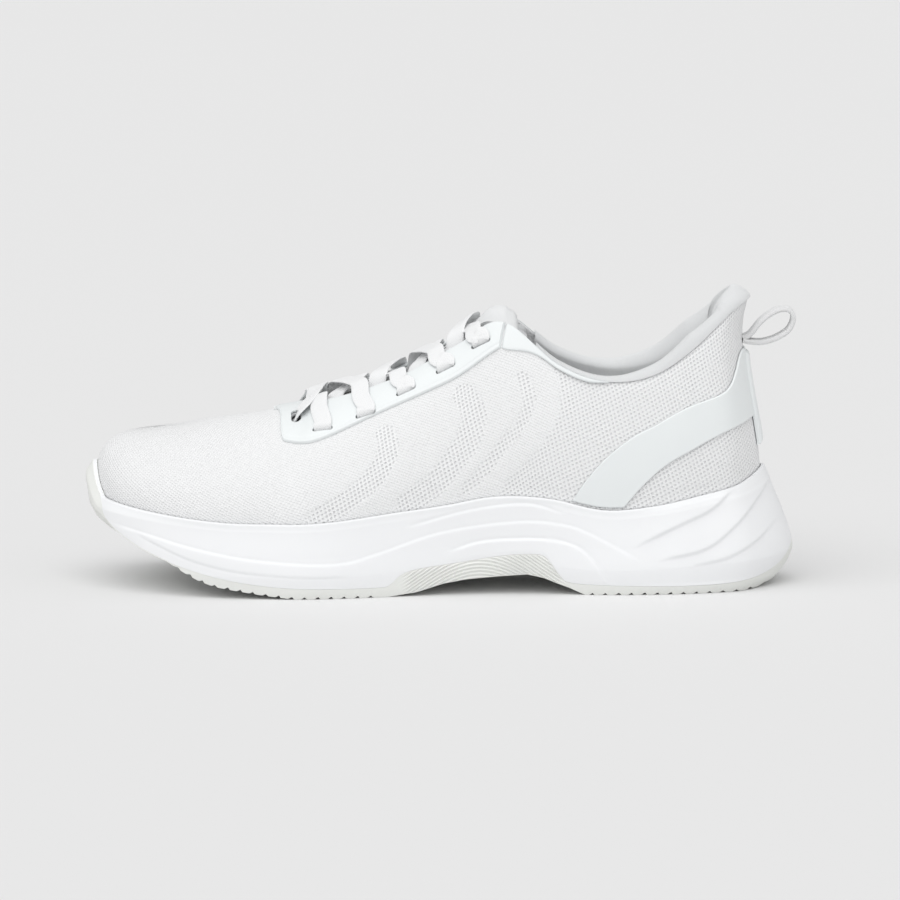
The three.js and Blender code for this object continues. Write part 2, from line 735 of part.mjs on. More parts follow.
// ---- heel straps ----
function addHeelStraps() {
  const reach = 4.75;
  const start = 0.12;
  for (const name of ["heel_strap_lateral", "heel_strap_medial"]) {
    const isInner = name.endsWith("medial");
    const columns = isInner ? columnsFrom(ROUND - reach, ROUND - start) : columnsFrom(start, reach);
    const fold = (s) => foldedStation(s);
    const strap = slab({
      columns,
      low: (s) => Math.max(0.035, crossing(fold(s), STRAP_FOOT)),
      high: (s) => crossing(fold(s), STRAP_TOP),
      inside: STRAP_IN,
      outside: STRAP_OUT,
    });
    addMesh(name, strap, WHITE_SYNTHETIC);
  }
  const strip = slab({
    columns: columnsFrom(-0.24, 0.24),
    low: () => 0.1,
    high: () => 0.66,
    inside: STRAP_OUT + 0.4,
    outside: STRAP_OUT + 1.5,
  });
  addMesh("heel_back_strip", strip, WHITE_SYNTHETIC);
}

// ---- pull loop ----
// The loop's middle line from its root, over the top and back underneath, as [x, z], and its round root,
// which turns clear of the knit.
const LOOP_ROOT = { x: 131.4, z: 103.6, radius: 2.4 };
const LOOP_LINE = [[131.4, 105.2], [136.3, 111], [142.2, 115], [147.3, 115.6], [149.6, 112.4],
  [147.8, 107.2], [142.6, 103.6], [136.6, 101.8], [131.4, 102]];

function addPullLoop() {
  const line = new THREE.SplineCurve(LOOP_LINE.map(([x, z]) => new THREE.Vector2(x, z)));
  const points = line.getPoints(32);
  const side = (d) =>
    points.map((p, i) => {
      const t = line.getTangent(i / (points.length - 1));
      return new THREE.Vector2(p.x - t.y * d, p.y + t.x * d);
    });
  const outline = [...side(WEBBING_THICK / 2), ...side(-WEBBING_THICK / 2).reverse()];
  const band = prism(outline.map((p) => [p.x, p.y]), WEBBING_WIDTH / 2);
  const { x, z, radius } = LOOP_ROOT;
  const circle = parallel(20, 0, 2 * Math.PI).slice(1)
    .map((turn) => [x + radius * Math.cos(turn), z + radius * Math.sin(turn)]);
  const root = prism(circle, WEBBING_WIDTH / 2);
  addMesh("pull_loop", geometryOf(solidOf(band).add(solidOf(root))), WHITE_FABRIC);
}

// ---- tongue ----
const TONGUE_TIP = 5.65;
const TONGUE_BASE = 12.5;
// Height of the tongue's middle above the throat's edge, by station.
const TONGUE_RISE = [[5.6, 4.2], [6, 6], [6.3, 6], [6.7, 2.6], [7.1, 0], [8, -1], [9, -2], [10, -4],
  [11, TONGUE_TOP - 0.4], [11.5, TONGUE_TOP - 0.9], [13, TONGUE_TOP - 0.9]];

// The tongue's top face, across b = -1 (outer side) .. 1 (inner side).
function tongueFace(s, b) {
  const edge = S(s, 1);
  const rise = [-0.35, 0, 0.35].reduce((sum, step) => sum + along(TONGUE_RISE, s + step) / 3, 0);
  const middle = vec(edge.x, 0, edge.z + rise);
  const low = mix(0.9, 0.8, smooth((s - TONGUE_TIP) / 3));
  const tip = mix(1.15, 1, smooth((s - TONGUE_TIP) / 1.5));
  const depth = TONGUE_TOP * tip - 0.9 * smooth((s - 10.6) / 0.8);
  const wing = [0, 0.45, 0.88].map((part) => out(s, mix(low, 1, part), depth));
  const points = [...wing, middle, ...wing.map((p) => vec(p.x, -p.y, p.z)).reverse()];
  return new THREE.CatmullRomCurve3(points).getPoint((b + 1) / 2);
}

function tongueNormal(s, b) {
  const clampB = (t) => Math.min(Math.max(t, -1), 1);
  const behind = tongueFace(Math.max(s - 0.03, TONGUE_TIP), b);
  const du = tongueFace(Math.min(s + 0.03, TONGUE_BASE), b).sub(behind);
  const db = tongueFace(s, clampB(b + 0.02)).sub(tongueFace(s, clampB(b - 0.02)));
  return db.cross(du).normalize();
}

function addTongue() {
  const foam = (s) => mix(3.4, 1.2, smooth((s - 8) / 4));
  const layers = [
    ["tongue_face", () => 0, () => 1, WHITE_FABRIC],
    ["tongue_foam", () => 1.1 + GAP, (s) => 1.1 + GAP + foam(s), WHITE_FOAM],
    ["tongue_lining", (s) => 1.5 + 2 * GAP + foam(s), (s) => 2.3 + 2 * GAP + foam(s), WHITE_FABRIC],
  ];
  for (const [name, from, to, look] of layers) {
    const layer = slab({
      surface: tongueFace,
      normal: tongueNormal,
      columns: parallel(22, TONGUE_TIP, TONGUE_BASE),
      rows: parallel(8, -1, 1),
      low: () => -1,
      high: () => 1,
      inside: (s) => -to(s),
      outside: (s) => -from(s),
    });
    addMesh(name, layer, look);
  }
}

// ---- lace ----
// How far toward the toe, in stations, the lace comes over the throat's edge from its slit.
const LEAN = 0.25;
// Extra height of the last crossing, over the tongue's tip.
const LAST_LIFT = 1.6;

// A point of the lace's route on the upper, with the direction of the lace's width: along the throat,
// or up the upper's girth where the lace runs along the throat.
function lacePoint(s, v, d, alongGirth = false) {
  const heelward = s > TOE ? 0.25 : -0.25;
  const across = alongGirth
    ? S(s, Math.min(v + 0.04, 1)).sub(S(s, v - 0.04))
    : S(s + heelward, v).sub(S(s - heelward, v));
  return { point: out(s, v, d), across: across.normalize() };
}

// Slit number k (0 is the front slot) on the outer (side 0) or inner (side 1) edge of the throat.
const onSide = (s, side) => (side ? ROUND - s : s);
const slitAt = (k, side) => {
  const [s, v] = k === 0 ? frontSlot : slits[k - 1];
  return [onSide(s, side), v];
};

// The lace's way down through slit k and back under the edge.
function throughSlit(k, side) {
  const [s, v] = slitAt(k, side);
  const way = [
    lacePoint(s, v + 0.05, LACE_OVER),
    lacePoint(s, v + 0.016, LACE_OVER - 0.1),
    lacePoint(s, v - 0.006, 0.7),
    lacePoint(s, v - 0.004, -1.8),
    lacePoint(s, v + 0.014, LACE_UNDER + 0.3),
    lacePoint(s, v + 0.05, LACE_UNDER),
  ];
  const isLast = k === SLITS.length;
  return isLast ? [...way.slice(0, 4), lacePoint(s, v - 0.03, LACE_UNDER - 1)] : way;
}

// One crossing, from the throat's edge at slit k on one side to slit k + 1 on the other side.
// The crossing that passes over the other one is higher at the middle.
function crossingRoute(k, side, isOver) {
  const edgeLimit = 10.4;
  const [sFrom] = slitAt(k, side);
  const [sTo, vTo] = slitAt(k + 1, 1 - side);
  const a = onSide(Math.min(foldedStation(sFrom), edgeLimit), side);
  const lean = (share) => onSide(Math.min(foldedStation(sTo) + LEAN * share, edgeLimit), 1 - side);
  const b = lean(1);
  const from = lacePoint(a, 1, 0);
  const to = lacePoint(b, 1, 0);
  const lift = k === SLITS.length - 1 ? LAST_LIFT : 0;
  const between = (t, height) => ({
    point: from.point.clone().lerp(to.point, t).add(vec(0, 0, height)),
    across: from.across.clone().lerp(to.across, t).normalize(),
  });
  const heights = isOver ? [4.4, 5.4, 4.9, 4] : [0.9, 2, 2.8, 3.2];
  const centre = [0.2, 0.5, 0.8, 0.96].map((t, i) => between(t, heights[i] + lift * Math.sin(Math.PI * t)));
  const start = k === 0 ? [between(-0.02, 3.7)] : [lacePoint(a, 0.97, LACE_UNDER)];
  const overEdge = lacePoint(lean(0.6), mix(vTo, 1, 0.6), LACE_OVER + 0.25);
  return [...start, ...centre, overEdge, ...throughSlit(k + 1, 1 - side)];
}

// The lace's start under the throat's front and up through the front slot.
function frontRoute(side) {
  const [s, v] = frontSlot;
  return [
    lacePoint(onSide(s + 0.3, side), v + 0.1, LACE_UNDER),
    lacePoint(onSide(s + 0.16, side), v + 0.01, LACE_UNDER, true),
    lacePoint(onSide(s + 0.03, side), v, -1.2, true),
    lacePoint(onSide(s - 0.03, side), v, 1, true),
    lacePoint(onSide(s - 0.18, side), v + 0.02, LACE_OVER + 0.9, true),
  ];
}

// The tucked end, from the last slit forward inside the upper, beside the tongue.
function tuckedRoute(side) {
  const depth = LINING_IN - GAP - LACE_THICK / 2 - 0.4;
  const way = [[6.75, 0.66], [7.3, 0.58], [8, 0.55], [8.8, 0.54], [9.6, 0.54]];
  return way.map(([s, v]) => lacePoint(onSide(s, side), v, depth, true));
}

function laceRoute() {
  const half = (side) => {
    const route = frontRoute(side);
    for (let k = 0; k < SLITS.length; k += 1) route.push(...crossingRoute(k, (side + k) % 2, side === 0));
    return [...route, ...tuckedRoute((side + SLITS.length) % 2)];
  };
  return [...half(0).reverse(), lacePoint(frontSlot[0] + 0.35, 1, LACE_UNDER), ...half(1)];
}

function addLace() {
  const route = laceRoute();
  const curve = new THREE.CatmullRomCurve3(route.map(({ point }) => point), false, "centripetal");
  const steps = 2 * (route.length - 1);
  const points = curve.getPoints(steps);
  let last = null;
  const sections = points.map((p, i) => {
    const tangent = points[Math.min(i + 1, steps)].clone().sub(points[Math.max(i - 1, 0)]).normalize();
    const at = i / 2;
    const wanted = route[Math.floor(at)].across.clone().lerp(route[Math.ceil(at)].across, 0.5);
    if (last && wanted.dot(last) < 0) wanted.negate();
    const across = wanted.addScaledVector(tangent, -wanted.dot(tangent)).normalize();
    last = across;
    const up = across.clone().cross(tangent).normalize();
    const w = LACE_WIDTH / 2;
    const h = LACE_THICK / 2;
    return [[w, h], [-w, h], [-w, -h], [w, -h]].map(([x, y]) =>
      p.clone().addScaledVector(across, x).addScaledVector(up, y),
    );
  });
  addMesh("lace", sweep(sections), WHITE_FABRIC);
}

addSole();
addBed();
addKnit();
addStiffeners();
addVampLining();
addCollarLining();
addCollarFoam();
addBindings();
addFacing();
addHeelStraps();
addPullLoop();
addTongue();
addLace();

export default group;
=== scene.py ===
"""A white running shoe for a left foot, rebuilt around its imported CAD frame.

Shapes are worked out in millimetres in the frame's axes: -X is the toe, +X the heel, -Y the outer side,
+Z up. The upper is a surface: s runs round the shoe through stations, from the heel (0) along the outer
side to the toe (TOE) and back along the inner side, and v runs up from the sole's rim (0) to the top edge
(1), or down into the sole's cup (-1).
"""
import math

import bmesh
import bpy
import numpy as np
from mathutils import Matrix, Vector


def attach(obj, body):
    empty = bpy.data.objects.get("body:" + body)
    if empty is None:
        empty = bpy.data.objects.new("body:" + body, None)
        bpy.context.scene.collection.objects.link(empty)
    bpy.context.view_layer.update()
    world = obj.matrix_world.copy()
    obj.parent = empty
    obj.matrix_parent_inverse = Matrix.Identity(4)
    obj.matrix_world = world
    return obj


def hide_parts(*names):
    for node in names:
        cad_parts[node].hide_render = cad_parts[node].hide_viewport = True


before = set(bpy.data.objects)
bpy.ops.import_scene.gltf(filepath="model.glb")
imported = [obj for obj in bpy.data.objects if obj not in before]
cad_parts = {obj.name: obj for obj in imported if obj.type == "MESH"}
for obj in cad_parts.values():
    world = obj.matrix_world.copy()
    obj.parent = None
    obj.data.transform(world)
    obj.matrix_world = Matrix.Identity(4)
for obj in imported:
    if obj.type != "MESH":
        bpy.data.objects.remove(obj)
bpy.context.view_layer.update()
MM = 0.001

# ---- driving dimensions, in millimetres ----
GAP = 0.35
KNIT = 1.4
LINING = 1.0
STRAP_IN = 0.1
STRAP_OUT = 1.35
LINING_IN = -3.9
LACE_WIDTH = 7.6
LACE_THICK = 1.1
LACE_OVER = 2.05
LACE_UNDER = -3.4
TONGUE_TOP = -5.15
LUG_PITCH = 5.4
LUG_DEPTH = 0.95

# One row per station: foot of the upper, rise and fall (handles of the girth curve), top edge or ridge,
# the foot's y on the inner side, and the height of the foot bed.
STATIONS = [
    ((136, 0, 49.5), (0.5, 0, 17), (-9, 0, -17), (131.5, 0, 121), 0, 31.5),
    ((125.5, -24.5, 44.5), (1, -2.5, 17), (-4, -6, -17), (122, -18.5, 115.5), 23.5, 31),
    ((108, -33, 40.5), (0.5, -2.5, 18), (-2, -4.5, -17), (106, -27.5, 101.2), 31, 30.6),
    ((90, -36, 36.8), (0, -2, 18), (0, -4, -17), (89.4, -31, 91), 33, 30.2),
    ((69, -37, 35.3), (0, -1.5, 18), (0, -4.5, -17), (70, -32, 88.7), 33, 30),
    ((46, -36, 40), (0, -1, 18), (-2, -7, -18), (50, -27, 95.3), 31.5, 30),
    ((24, -36.5, 41), (0, -1, 26), (-5, -9, -16), (27, -17.5, 112), 30, 29),
    ((2, -39, 37.5), (0, -1, 25), (-5, -11, -12), (8.9, -15.5, 102.2), 31, 26.5),
    ((-20, -43, 34.8), (0, -1, 22), (-5, -13, -10), (-13, -15.7, 89.8), 36, 24.5),
    ((-40, -47, 32.2), (0, -1, 18), (-4, -14, -9), (-33, -16, 82.2), 41.5, 23),
    ((-56, -49, 31), (0, -1, 17), (-2, -17, -6), (-50, -12, 77.3), 45, 22.2),
    ((-70, -48.5, 31), (0, -1, 17), (0, -24, 0), (-58, 0, 75), 46.5, 22),
    ((-88, -46.5, 31.2), (0, -1, 17), (0, -24, 0), (-80, 0, 71.2), 46.5, 22.4),
    ((-106, -41.5, 32.6), (0, -1, 16), (0, -21, 0), (-97, 0, 69.1), 43, 23.8),
    ((-124, -33.5, 35), (-1.5, -2, 15), (-4, -17, 0), (-108, 0, 67), 37.5, 26.2),
    ((-138, -20.5, 37.4), (-2, -2, 16), (-12, -10, 0), (-115, 0, 66), 25.5, 29),
    ((-144.8, 2, 38.8), (-2.2, 0, 18.2), (-22, 0, -0.3), (-118, 0, 65.6), 2, 30.5),
]
FOOT, RISE, FALL, TOP = range(4)
TOE = len(STATIONS) - 1
ROUND = 2 * TOE
THROAT = 11

# Side outlines as (x, z) points.
GROUND = [(-151, 46), (-149.2, 41.5), (-148.1, 34), (-145.4, 28.8), (-141.5, 25.2), (-135.5, 21.2),
          (-128.8, 17.4), (-122, 14), (-112, 10.2), (-103, 7.3), (-92.4, 4.6), (-72, 1.4), (-60, 0),
          (-21, 0), (-9, 1.6), (2, 4.9), (11, 6.4), (22, 7.3), (37, 8.4), (44, 6.9), (49, 4.9), (54.5, 3),
          (61, 0), (128, 0), (134, 0.3), (141, 2.5), (146, 7), (151, 13)]
PARTING = [(-147, 53.5), (-145.3, 47.8), (-143.5, 41.5), (-142, 36), (-141, 32), (-138.4, 28.3),
           (-132.8, 24), (-125.5, 19.7), (-114.8, 15.2), (-105.5, 12), (-90, 8.2), (-71, 5.4), (-52, 4.4),
           (-25, 4.2), (-20, 5.6), (-12.5, 10.8), (9, 14), (27, 16.5), (41, 17), (46, 14.5), (51, 7.6),
           (56, 5), (76, 4), (103, 3.6), (122, 4.2), (136, 6.4), (145, 11.2), (151, 20)]
FACING_EDGE = [(-75, 64.5), (-68.6, 63.7), (-58, 62.4), (-47, 65), (-25.4, 74.6), (-3.8, 84), (8.9, 90.3),
               (22, 99.5), (29.7, 103.6)]
STRAP_TOP = [(52, 34), (55.5, 38.5), (61, 47), (69.5, 56.8), (80.5, 65.6), (90.2, 70.5), (103, 77.5),
             (116.9, 82.4), (121.6, 85.6), (124.2, 91), (126.5, 98.3), (129.5, 99.6), (140, 100)]
STRAP_FOOT = [(72, 30), (77.1, 36), (84.7, 44.8), (94.5, 53.6), (106.3, 60.3), (119.5, 66.9), (131.8, 70.8),
              (140, 73)]
SLITS = [(-48.5, 67.8), (-30.5, 73.8), (-13.6, 83.1), (3, 92.5), (17.8, 103)]
FRONT_SLOT = (-60, 71.2)
SLIT_SIZE = (LACE_WIDTH + 1.2, 2.2)
FRONT_SIZE = (LACE_WIDTH + 2.4, 4.2)

# Outward steps of the sole's wall from the upper's foot, at WALL_HEIGHTS of the rim's height.
WALL_HEIGHTS = [-0.08, 0.1, 0.3, 0.55, 0.9, 1]
WALLS = [
    (0, (2, 9.5, 13.8, 10.5, 3.8, 1.7)),
    (1, (3, 7.5, 10, 8, 3.4, 1.7)),
    (2, (3, 6, 7.5, 6, 3, 1.8)),
    (4, (3.5, 5.2, 6, 4.5, 2.4, 1.8)),
    (6, (1.5, 2.5, 3.5, 3, 2.2, 1.8)),
    (8, (2.5, 3.8, 4.5, 3.6, 2.2, 1.8)),
    (10, (3.5, 5, 5.8, 4.5, 2.4, 1.8)),
    (13, (3, 4, 5, 4.5, 2.4, 1.8)),
    (15, (0, 2, 4, 4.4, 4, 1.9)),
    (TOE, (-2, 0, 2, 3.6, 4.6, 1.9)),
]


# ---- curves ----
def lerp(a, b, t):
    return a + (b - a) * t


def smooth(t):
    t = np.clip(t, 0, 1)
    return t * t * (3 - 2 * t)


def along(points, x):
    """The y value of a polyline of (x, y) points at x, carried on straight past its ends."""
    xs, ys = np.array(points, float).T
    i = np.clip(np.searchsorted(xs, x), 1, len(xs) - 1)
    return lerp(ys[i - 1], ys[i], (x - xs[i - 1]) / (xs[i] - xs[i - 1]))


def smooth_along(table, k):
    """A smooth value at station k of a table of (station, values), mirrored at both ends."""
    xs = np.array([row[0] for row in table], float)
    ys = np.array([row[1] for row in table], float)
    slopes = np.zeros_like(ys)
    slopes[1:-1] = ((ys[2:] - ys[:-2]).T / (xs[2:] - xs[:-2])).T
    k = np.asarray(k, float)
    i = np.clip(np.searchsorted(xs, k) - 1, 0, len(xs) - 2)
    step = xs[i + 1] - xs[i]
    t = np.clip((k - xs[i]) / step, 0, 1)
    if ys.ndim > 1:
        step, t = step[..., None], t[..., None]
    a, b = slopes[i] * step, slopes[i + 1] * step
    h = t * t * (3 - 2 * t)
    return ys[i] * (1 - h) + ys[i + 1] * h + a * (t**3 - 2 * t**2 + t) + b * (t**3 - t**2)


def catmull(a, b, c, d, t):
    return (b * (2 * t**3 - 3 * t**2 + 1) + (c - a) / 2 * (t**3 - 2 * t**2 + t)
            + c * (3 * t**2 - 2 * t**3) + (d - b) / 2 * (t**3 - t**2))


def curved(points, per_span=5):
    """A smooth line through points, as many more points."""
    p = np.asarray(points, float)
    ends = [2 * p[0] - p[1], *p, 2 * p[-1] - p[-2]]
    rows = [catmull(*ends[i:i + 4], k / per_span) for i in range(len(p) - 1) for k in range(per_span)]
    return np.array([*rows, p[-1]])


PARTING, FACING_EDGE, STRAP_TOP, STRAP_FOOT = map(curved, (PARTING, FACING_EDGE, STRAP_TOP, STRAP_FOOT))


def station_vectors(key):
    """One key of all the stations, round the whole shoe."""
    rows = []
    for n in range(ROUND):
        row = STATIONS[n if n <= TOE else ROUND - n]
        x, y, z = row[key]
        if n > TOE:
            y = row[4] if key == FOOT else -y
        rows.append((x, y, z))
    return np.array(rows, float)


KEYS = [station_vectors(key) for key in range(4)]


def guide(s, key):
    k = np.floor(s).astype(int)
    rows = [KEYS[key][(k + i) % ROUND] for i in (-1, 0, 1, 2)]
    return catmull(*rows, (s - k)[..., None])


def folded(s):
    n = np.mod(s, ROUND)
    return np.where(n > TOE, ROUND - n, n)


def top_of(s):
    point = guide(s, TOP)
    ridge = (point + guide(ROUND - s, TOP)) / 2
    ridge[..., 1] = 0
    return np.where((folded(s) >= THROAT - 1e-6)[..., None], ridge, point)


def bed_of(s):
    beds = np.array([row[5] for row in STATIONS], float)
    k = folded(s)
    i = np.clip(np.floor(k).astype(int), 0, TOE - 1)
    rows = [beds[np.clip(i + n, 0, TOE)] for n in (-1, 0, 1, 2)]
    return catmull(*rows, k - i)


def surface(s, v):
    """Points of the upper's outer surface."""
    s, v = np.broadcast_arrays(np.asarray(s, float), np.asarray(v, float))
    foot, top = guide(s, FOOT), top_of(s)
    a, b = foot + guide(s, RISE), top + guide(s, FALL)
    t = np.clip(v, 0, None)[..., None]
    girth = foot * (1 - t)**3 + 3 * a * t * (1 - t)**2 + 3 * b * t * t * (1 - t) + top * t**3
    low = np.stack([foot[..., 0] * 0.985, foot[..., 1] * 0.94, bed_of(s)], -1)
    return np.where((v < 0)[..., None], lerp(foot, low, np.clip(-v, 0, None)[..., None]), girth)


def unit(a):
    return a / np.maximum(np.linalg.norm(a, axis=-1, keepdims=True), 1e-9)


def normal(s, v):
    """Outward unit normals of the upper's surface."""
    s, v = np.broadcast_arrays(np.asarray(s, float), np.asarray(v, float))
    step = 0.02
    low = np.where(v < 0, -1.0, 0.0)
    around = surface(s + step, np.minimum(v, 0.985)) - surface(s - step, np.minimum(v, 0.985))
    upward = surface(s, np.minimum(v + step, 1)) - surface(s, np.maximum(v - step, low))
    n = unit(np.cross(upward, around))
    ridge = unit(top_of(np.maximum(folded(s) - 0.4, THROAT)) - top_of(np.minimum(folded(s) + 0.4, TOE)))
    crown = np.stack([-ridge[..., 2], np.zeros_like(s), ridge[..., 0]], -1)
    share = smooth((v - 0.93) / 0.07) * (folded(s) >= THROAT - 1e-6)
    return unit(lerp(n, unit(crown), share[..., None]))


def off(s, v, d):
    """Points at distance d outside the upper's surface."""
    return surface(s, v) + normal(s, v) * np.asarray(d, float)[..., None]


def outward(s):
    """Horizontal outward direction of the foot line."""
    t = guide(s + 0.02, FOOT) - guide(s - 0.02, FOOT)
    return unit(np.stack([-t[..., 1], t[..., 0], np.zeros_like(s)], -1))


def crossing(s, edge):
    """v where the columns s cross the side outline z = edge(x)."""
    s = np.asarray(s, float)
    low, high = np.zeros_like(s), np.ones_like(s)
    for _ in range(26):
        mid = (low + high) / 2
        p = surface(s, mid)
        above = p[..., 2] > along(edge, p[..., 0])
        high = np.where(above, mid, high)
        low = np.where(above, low, mid)
    return (low + high) / 2


def locate(point):
    """(s, v) of the outer side's point at x, z."""
    x, z = point
    level = [(-200, z), (200, z)]
    low, high = 0.0, float(TOE)
    for _ in range(26):
        mid = (low + high) / 2
        if surface(mid, crossing(mid, level))[0] > x:
            low = mid
        else:
            high = mid
    return low, float(crossing(low, level))


# ---- meshes ----
def make_object(name, points, faces, maps=None, sources=None, body="shoe", angle=50):
    """A mesh object from points in millimetres. maps gives UV maps with one (u, v) pair per source, and
    sources gives the source of every face corner, which is the point's own number if it is left out."""
    mesh = bpy.data.meshes.new(name)
    mesh.from_pydata((np.asarray(points, float) * MM).tolist(), [], [tuple(map(int, f)) for f in faces])
    corners = np.array([k for face in (sources or faces) for k in face], dtype=np.int64)
    for key, values in (maps or {}).items():
        layer = mesh.uv_layers.new(name=key)
        layer.data.foreach_set("uv", np.asarray(values, np.float32)[corners].ravel())
    mesh.update()
    piece = bpy.data.objects.new(name, mesh)
    bpy.context.collection.objects.link(piece)
    mesh.polygons.foreach_set("use_smooth", [True] * len(mesh.polygons))
    if angle:
        mesh.set_sharp_from_angle(angle=math.radians(angle))
    if body:
        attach(piece, body)
    return piece


def grid_faces(n, m, wrap=False):
    """Quads of an n x m grid of points numbered row by row, where wrap joins the last row to the first."""
    i, j = np.meshgrid(np.arange(n if wrap else n - 1), np.arange(m - 1), indexing="ij")
    k = (i + 1) % n
    return np.stack([i * m + j, i * m + j + 1, k * m + j + 1, k * m + j], -1).reshape(-1, 4)


def border_edges(faces):
    """The directed edges of faces that no other face shares."""
    edges = {(a, b) for face in faces for a, b in zip(face, face[1:] + face[:1])}
    return [edge for edge in edges if (edge[1], edge[0]) not in edges]


def set_values(piece, values):
    """Stores numbers by point, for the materials to read."""
    for name, numbers in (values or {}).items():
        layer = piece.data.attributes.new(name, "FLOAT", "POINT")
        layer.data.foreach_set("value", np.asarray(numbers, np.float32).ravel())


def slab(name, points, normals, inside, outside, maps=None, values=None, body="shoe", angle=50):
    """A closed sheet over a grid of points, between two offsets along the normals. Points in one place
    are joined, so that a grid may close on itself."""
    n, m = points.shape[:2]
    low = (points + normals * np.broadcast_to(inside, (n, m))[..., None]).reshape(-1, 3)
    high = (points + normals * np.broadcast_to(outside, (n, m))[..., None]).reshape(-1, 3)
    places = np.round(points.reshape(-1, 3), 3)
    _, first, same = np.unique(places, axis=0, return_index=True, return_inverse=True)
    same = same.ravel()
    faces, sources = [], []
    for quad in grid_faces(n, m).tolist():
        ids = [int(same[k]) for k in quad]
        kept = [k for k in range(4) if ids[k] != ids[k - 1]]
        if len(kept) > 2:
            faces.append([ids[k] for k in kept])
            sources.append([quad[k] for k in kept])
    count = len(first)
    walls = [[b, a, a + count, b + count] for a, b in border_edges(faces)]
    under = [[k + count for k in reversed(face)] for face in faces]
    wall_sources = [[int(first[k % count]) for k in wall] for wall in walls]
    all_sources = sources + [source[::-1] for source in sources] + wall_sources
    flat = {key: value.reshape(-1, 2) for key, value in (maps or {}).items()}
    piece = make_object(name, np.concatenate([high[first], low[first]]), faces + under + walls, flat,
                        all_sources, body, angle)
    set_values(piece, {key: np.tile(value.reshape(-1)[first], 2) for key, value in (values or {}).items()})
    return face_out(piece)


def lengths(points, axis):
    """Running length of a grid of points along one axis."""
    steps = np.linalg.norm(np.diff(points, axis=axis), axis=-1)
    zero = np.zeros_like(np.take(steps, [0], axis=axis))
    return np.concatenate([zero, np.cumsum(steps, axis=axis)], axis=axis)


def rounded(points, height, radius, top_extra=0):
    """Height of a slab's face over its grid, falling off in a round at the grid's borders. top_extra
    moves the top border away, where two halves meet."""
    up, run = lengths(points, 1), lengths(points, 0)
    distance = np.minimum(up, up[:, -1:] - up + top_extra)
    distance = np.minimum(distance, np.minimum(run, run[-1:] - run))
    t = np.clip(distance / radius, 0, 1)
    return height * np.sqrt(np.clip(1 - (1 - t)**2, 0, 1))


def eased(count, share=0.12):
    """0 to 1 in count steps, closer together at both ends."""
    t = np.linspace(0, 1, count + 1)
    return lerp(t, (1 - np.cos(np.pi * t)) / 2, 1 - share)


def strip(name, columns, low, high, count, inside, thick, radius=0.7, bulge=None):
    """A bonded strip on the upper between v = low(s) and v = high(s), with rounded borders."""
    s = np.asarray(columns, float)[:, None]
    w = eased(count)[None, :]
    v = lerp(np.asarray(low(s), float), np.asarray(high(s), float), w)
    s = np.broadcast_to(s, v.shape)
    points, normals = surface(s, v), normal(s, v)
    joined = 50 * smooth((folded(s[:, :1]) - THROAT + 0.3) / 0.3)
    face = inside + rounded(points, thick, radius, joined)
    if bulge is not None:
        face = face + bulge(points)
    return slab(name, points, normals, inside, face, flow_map(points))


def flow_map(points):
    """A UV map in metres from the running lengths of a grid of points."""
    return {"flow": np.stack([lengths(points, 0), lengths(points, 1)], -1) * MM}


def round_maps(s, v, points):
    """Two UV maps in metres: "round" follows the girth, and "vamp" is spread out from the toe box's top."""
    run = lengths(surface(s[:, :1], np.full_like(s[:, :1], 0.4)), 0)
    up = lengths(points, 1)
    pole = np.array([-84.0, 0.0])
    plan = points[..., :2] - pole
    radius = np.maximum(np.linalg.norm(plan, axis=-1), 1)
    drop = np.clip(72 - points[..., 2], 0, None)
    spread = plan * (1 + 0.8 * drop / radius)[..., None]
    return {"round": np.stack([np.broadcast_to(run, up.shape), up], -1) * MM, "vamp": spread * MM}


def tube(name, sections, body="shoe", maps=None, angle=60):
    """A closed tube through rings of points, closed by a fan at each end."""
    sections = np.asarray(sections, float)
    n, m = sections.shape[:2]
    ring = np.concatenate([sections, sections[:, :1]], axis=1)
    faces = []
    for i in range(n - 1):
        for j in range(m):
            k = (j + 1) % m
            faces.append((i * m + j, i * m + k, (i + 1) * m + k, (i + 1) * m + j))
    first, last = n * m, n * m + 1
    points = np.concatenate([sections.reshape(-1, 3), [sections[0].mean(0)], [sections[-1].mean(0)]])
    for j in range(m):
        k = (j + 1) % m
        faces.append((first, k, j))
        faces.append((last, (n - 1) * m + j, (n - 1) * m + k))
    if maps is None:
        along_it = lengths(sections.mean(1)[:, None], 0)[:, 0]
        round_it = lengths(ring, 1)[:, :m]
        flow = np.stack([np.broadcast_to(along_it[:, None], (n, m)), round_it], -1) * MM
        ends = np.array([flow[0, 0], flow[-1, 0]])
        maps = {"flow": np.concatenate([flow.reshape(-1, 2), ends])}
    return face_out(make_object(name, points, faces, maps, body=body, angle=angle))


def face_out(piece):
    """Turns a closed mesh's faces so that they point out."""
    shape = bmesh.new()
    shape.from_mesh(piece.data)
    bmesh.ops.recalc_face_normals(shape, faces=shape.faces)
    if shape.calc_volume(signed=True) < 0:
        bmesh.ops.reverse_faces(shape, faces=shape.faces)
    shape.to_mesh(piece.data)
    shape.free()
    return piece


# ---- sole ----
SOLE_COLUMNS = 960
sole_s = np.arange(SOLE_COLUMNS) * ROUND / SOLE_COLUMNS
rim_v = 0.27 * smooth(1 - np.abs(sole_s - TOE) / 0.9)
RIM = surface(sole_s, rim_v)
RIM_FOOT = surface(sole_s, np.zeros_like(sole_s))
OUTWARD = outward(sole_s)
WALL_STEPS = smooth_along(WALLS, folded(sole_s))
TWIN = (SOLE_COLUMNS - np.arange(SOLE_COLUMNS)) % SOLE_COLUMNS

